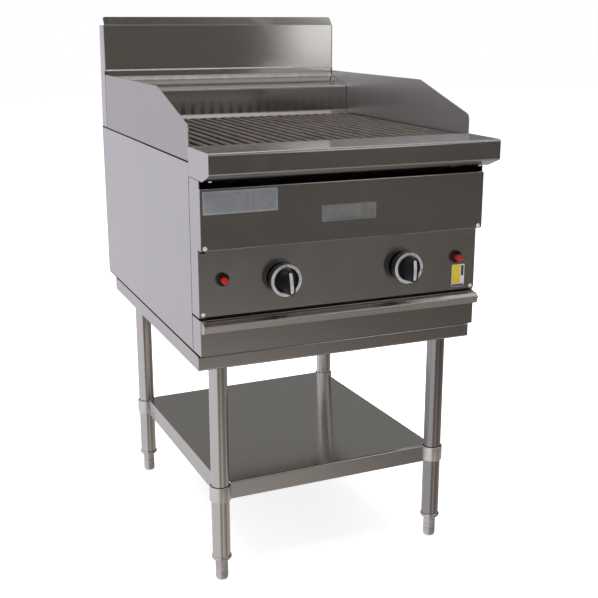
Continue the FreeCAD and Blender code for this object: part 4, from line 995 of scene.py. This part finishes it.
def build_gap_shadows():
    """Painted shadow: black strips in the gaps under the side splashes, over the stand rails, behind the
    cheeks, and under the upper front panel's lower left corner."""
    low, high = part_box("side_panel_right")
    rail_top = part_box("stand_rail_right")[1].z
    splash_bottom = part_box("flue_back")[0].z
    housing = (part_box("drawer_front")[0].z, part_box("cheek_right")[1].z)
    deep = high.x - 1.4 * MM
    bm = bmesh.new()
    for side in (-1, 1):
        inside = (side * deep, side * (deep - 2.5 * MM))
        eased_box(bm, inside, (low.y + 5 * MM, high.y - 12 * MM), (high.z - 0.6 * MM, splash_bottom))
        eased_box(bm, inside, (low.y + 1 * MM, high.y - 2 * MM), (rail_top - 0.2 * MM, low.z + 0.4 * MM))
        skin = (side * (high.x - 0.6 * MM), side * (high.x + 0.12 * MM))
        eased_box(bm, skin, (low.y - 1.5 * MM, low.y + 0.5 * MM), housing, 0.2 * MM)
    x, y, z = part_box("upper_front_panel")[0]
    eased_box(bm, (x + 0.4 * MM, x + 9.5 * MM), (y + 0.2 * MM, y + 1.6 * MM), (z - 3.2 * MM, z + 0.2 * MM))
    make_piece("gap_shadow_strips", bm, ["shadow"])


def build_drawer_shade():
    """Painted shadow: black strip behind the gap over the drawer."""
    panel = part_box("control_panel")[0]
    drawer_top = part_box("drawer_front")[1].z
    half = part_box("cheek_right")[1].x - 1.8 * MM
    tall = (drawer_top + 0.3 * MM, panel.z + 4 * MM)
    bm = bmesh.new()
    eased_box(bm, (-half, half), (panel.y + 1.8 * MM, panel.y + 3.0 * MM), tall)
    make_piece("drawer_gap_shade", bm, ["shadow"])


CAP_JOINT_Z = 1008.0 * MM
CAP_EDGE_Z = 986.0 * MM
FACE_FOOT_Z = 925.0 * MM
FACE_SET_BACK = 9.0 * MM
HEM_SET_BACK = 1.0 * MM
HEM_REACH = 3.7 * MM
HEM_Z = 1029.0 * MM
CAP_BACK_Z = 1007.5 * MM
COVE_RADIUS = 11.0 * MM
COVE_SET_BACK = 1.2 * MM
COVE_STEPS = 12


def build_riser_seals():
    """Beads that close the joint between the flue riser and the side splashes."""
    low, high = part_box("flue_riser")
    splash_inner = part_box("side_splash_right")[1].x - 2.0 * MM
    face = low.y + FACE_SET_BACK
    corners = [(high.y - 1 * MM, CAP_JOINT_Z), (face, CAP_EDGE_Z), (face, FACE_FOOT_Z), (low.y, low.z)]
    bm = bmesh.new()
    for side in (-1, 1):
        x0, x1 = side * (high.x - 0.4 * MM), side * (splash_inner + 0.1 * MM)
        section = [(x0, 0.15 * MM), (x1, 0.15 * MM), (x1, 2.2 * MM), (x0, 2.2 * MM)]
        rings = []
        for y, z in soften(corners, 4 * MM, 5):
            rings.append([bm.verts.new((x, y + depth * 0.6, z - depth * 0.5)) for x, depth in section])
        loft(bm, rings)
    make_piece("riser_joint_beads", bm, ["seam"], sharp=50)


def swept_strip(bm, section, half):
    """Sweep a closed (y, z) outline from -half to half along X."""
    loft(bm, [[bm.verts.new((x, y, z)) for y, z in section] for x in (-half, half)])


def build_splash_trim():
    """Turned-out hem under the splash face, and the cove where the flue cap meets the upstand."""
    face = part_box("splashback")[0].y + HEM_SET_BACK
    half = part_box("flue_riser")[1].x - 0.5 * MM
    bm = bmesh.new()
    edge = face - HEM_REACH
    hem = [
        (face, HEM_Z + 3.2 * MM), (edge, HEM_Z + 0.6 * MM), (edge, HEM_Z - 0.4 * MM),
        (edge + 0.7 * MM, HEM_Z - 1.0 * MM), (face, HEM_Z - 1.0 * MM),
    ]
    swept_strip(bm, soften(hem, 0.5 * MM, 2, closed=True), half)
    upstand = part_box("flue_riser")[1].y - COVE_SET_BACK
    cove = [(upstand + 1.0 * MM, CAP_BACK_Z + COVE_RADIUS)]
    for k in range(COVE_STEPS + 1):
        a = math.pi / 2 * k / COVE_STEPS
        z = CAP_BACK_Z + COVE_RADIUS * (1 - 1.2 * math.sin(a))
        cove.append((upstand - COVE_RADIUS * (1 - math.cos(a)), z))
    cove.append((upstand + 1.0 * MM, CAP_BACK_Z - 3.0 * MM))
    swept_strip(bm, cove, half)
    make_piece("splash_trim", bm, ["steel_trim"], sharp=50)


FLUE_SHEET = 1.5 * MM


def build_flue_screws():
    """Screws that hold the flue back."""
    low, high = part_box("flue_back")
    size = high - low
    lean = size.y - FLUE_SHEET
    slope = Vector((0, size.z, lean)).normalized()
    bm = bmesh.new()
    for x_share in (0.04, 0.5, 0.96):
        for z_share in (0.12, 0.90):
            y = high.y - lean * z_share - 0.1 * MM
            spot = (low.x + size.x * x_share, y, low.z + size.z * z_share)
            screw_head(bm, 4.2 * MM, 2.0 * MM, facing(*spot, slope, 310.0 * x_share))
    make_piece("flue_screw_heads", bm, ["bright"], sharp=40)


THREAD_TURNS = 9
THREAD_PITCH = 1.81 * MM
THREAD_CREST = 12.5 * MM
THREAD_ROOT = 13.25 * MM
THREAD_BACK = 13.9 * MM


def build_inlet_thread():
    """Thread crests inside the gas inlet socket."""
    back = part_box("gas_inlet_pipe")[1].y
    centre = next((a + b) / 2 for a, b in islands("gas_inlet_pipe") if b.y > back - 0.1 * MM)
    bm = bmesh.new()
    crests = []
    for k in range(THREAD_TURNS):
        depth = 1.0 * MM + THREAD_PITCH * k
        crests += [(THREAD_ROOT, depth - 0.5 * MM), (THREAD_CREST, depth), (THREAD_ROOT, depth + 0.5 * MM)]
    outline = crests + [(THREAD_BACK, crests[-1][1]), (THREAD_BACK, crests[0][1])]
    lathe(bm, outline, facing(centre.x, back, centre.z, FORWARD), 64, loop=True)
    make_piece("inlet_thread", bm, ["pipe"], sharp=60)


for knob_side in SIDES:
    build_knob(knob_side)
build_igniters()
build_screws()
build_badge()
build_notice()
build_sticker()
build_grates()
build_radiants()
build_feet()
build_inserts()
build_collars()
build_air_slot_painted_shadow()
build_gap_shadows()
build_drawer_shade()
build_riser_seals()
build_splash_trim()
build_flue_screws()
build_inlet_thread()


# ---- Studio: floor, lights, surroundings and camera

CAMERA_PLACE = Vector((-0.8622, -2.1701, 1.1485))
CAMERA_YAW = 22.81
CAMERA_PITCH = 15.17
CAMERA_LENS = 61.9


def direction(azimuth, elevation):
    """Unit vector: azimuth 0 points along +Y and 90 along +X, in degrees."""
    a, e = math.radians(azimuth), math.radians(elevation)
    return Vector((math.sin(a) * math.cos(e), math.cos(a) * math.cos(e), math.sin(e)))


def aim(thing, along):
    """Turn a camera or light to face along a direction."""
    thing.rotation_mode = "QUATERNION"
    thing.rotation_quaternion = along.to_track_quat("-Z", "Y")


def make_camera():
    """Camera at the photo's place, as solved from the edges of the object."""
    camera = new_object("camera", bpy.data.cameras.new("camera"))
    camera.data.sensor_width = 36.0
    camera.data.lens = CAMERA_LENS
    camera.data.clip_start = 0.05
    camera.data.clip_end = 60.0
    camera.location = CAMERA_PLACE
    aim(camera, direction(CAMERA_YAW, -CAMERA_PITCH))
    bpy.context.scene.camera = camera


def make_floor():
    """Pale floor under the feet, lit up to white and unseen by the metal."""
    bm = bmesh.new()
    bmesh.ops.create_grid(bm, x_segments=8, y_segments=8, size=14.0)
    mesh = bpy.data.meshes.new("studio_floor")
    bm.to_mesh(mesh)
    bm.free()
    floor = new_object("studio_floor", mesh)
    floor.location.z = CAD_BOX[0].z - 0.5 * MM
    g = new_material("floor_pale")
    place = g.place()
    cloud = g.noise(place, 1.5, 3.0, 0.5)
    colour = g.mix(g.spread(cloud, 0.3, 0.7), rgb(0.90, 0.90, 0.90), rgb(0.93, 0.93, 0.93))
    finish_surface(
        g, Base_Color=colour, Roughness=0.9, Emission_Color=rgb(1, 1, 1), Emission_Strength=0.74)
    mesh.materials.append(MATERIALS["floor_pale"])
    floor.visible_glossy = False


def make_overhead_light():
    """Large soft box over the object, which the metal doesn't mirror."""
    data = bpy.data.lights.new("overhead_box", "AREA")
    data.shape = "SQUARE"
    data.size = 3.4
    data.energy = 130.0
    light = new_object("overhead_box", data)
    light.location = (-0.3, 0.1, 3.6)
    aim(light, -light.location)
    light.visible_camera = False
    light.visible_glossy = False


def make_surroundings():
    """Studio by direction, in degrees: pale on the left, dim in front with one bright patch right of
    the middle, bright high up behind and on the right. The camera itself sees plain white."""
    world = bpy.data.worlds.new("studio")
    world.use_nodes = True
    bpy.context.scene.world = world
    g = Graph(world.node_tree)
    x, y, z = g.split(g.add("ShaderNodeTexCoord", output="Generated"))
    azimuth = g.times(g.math("ARCTAN2", x, y), 180 / math.pi)
    elevation = g.times(g.math("ARCSINE", z), 180 / math.pi)
    near_floor = g.spread(elevation, -11.0, -30.0)
    middle = g.spread(elevation, 10.0, 24.0)
    high = g.spread(elevation, 34.0, 48.0)

    floor_ahead = g.mix(g.spread(azimuth, 146.0, 163.0), rgb(0.24, 0.22, 0.20), rgb(0.52, 0.48, 0.45))
    level = g.mix(g.spread(azimuth, 160.0, 169.0), rgb(0.080, 0.071, 0.064), rgb(0.086, 0.084, 0.066))
    eye_line = g.spread(elevation, -4.4, -2.6)
    level = g.mix(eye_line, level, rgb(0.115, 0.104, 0.092))
    below = g.window(elevation, -12.2, -11.2, -9.4, -8.2)
    level = g.mix(below, level, rgb(0.108, 0.098, 0.088))
    front = g.mix(near_floor, level, floor_ahead)
    front = g.mix(middle, front, rgb(0.52, 0.51, 0.50))
    front = g.mix(high, front, rgb(0.10, 0.098, 0.088))
    patch = g.times(g.window(azimuth, 147.5, 152.0, 156.6, 159.0), g.window(elevation, -2.9, -2.2, 9.0, 12.0))
    front = g.mix(patch, front, rgb(1.14, 1.12, 1.11))
    left = g.mix(near_floor, rgb(0.66, 0.635, 0.69), rgb(0.60, 0.59, 0.60))
    left = g.mix(high, left, rgb(0.45, 0.45, 0.46))
    back = g.mix(near_floor, rgb(0.20, 0.195, 0.18), rgb(0.55, 0.54, 0.53))
    back = g.mix(high, back, rgb(1.15, 1.13, 1.11))
    right = g.mix(near_floor, rgb(0.10, 0.097, 0.092), rgb(0.40, 0.38, 0.36))
    right_high = g.mix(g.spread(azimuth, 99.0, 107.0), rgb(0.50, 0.49, 0.48), rgb(1.8, 1.77, 1.73))
    right = g.mix(high, right, right_high)

    colour = g.mix(g.spread(azimuth, -157.0, -152.0), front, left)
    colour = g.mix(g.spread(azimuth, -7.0, 8.0), colour, back)
    colour = g.mix(g.spread(azimuth, 32.0, 55.0), colour, right)
    colour = g.mix(g.spread(azimuth, 111.5, 115.0), colour, front)
    colour = g.mix(g.spread(elevation, 86.0, 88.0), colour, rgb(0.9, 0.88, 0.86))
    surroundings = g.add("ShaderNodeBackground", Color=colour, Strength=1.0)
    white = g.add("ShaderNodeBackground", Color=rgb(1, 1, 1), Strength=1.0)
    seen = g.add("ShaderNodeLightPath", output="Is Camera Ray")
    mixed = g.add("ShaderNodeMixShader", i0=seen, i1=surroundings, i2=white)
    g.add("ShaderNodeOutputWorld", Surface=mixed)


make_camera()
make_floor()
make_overhead_light()
make_surroundings()
bpy.context.scene.view_settings.view_transform = "Standard"
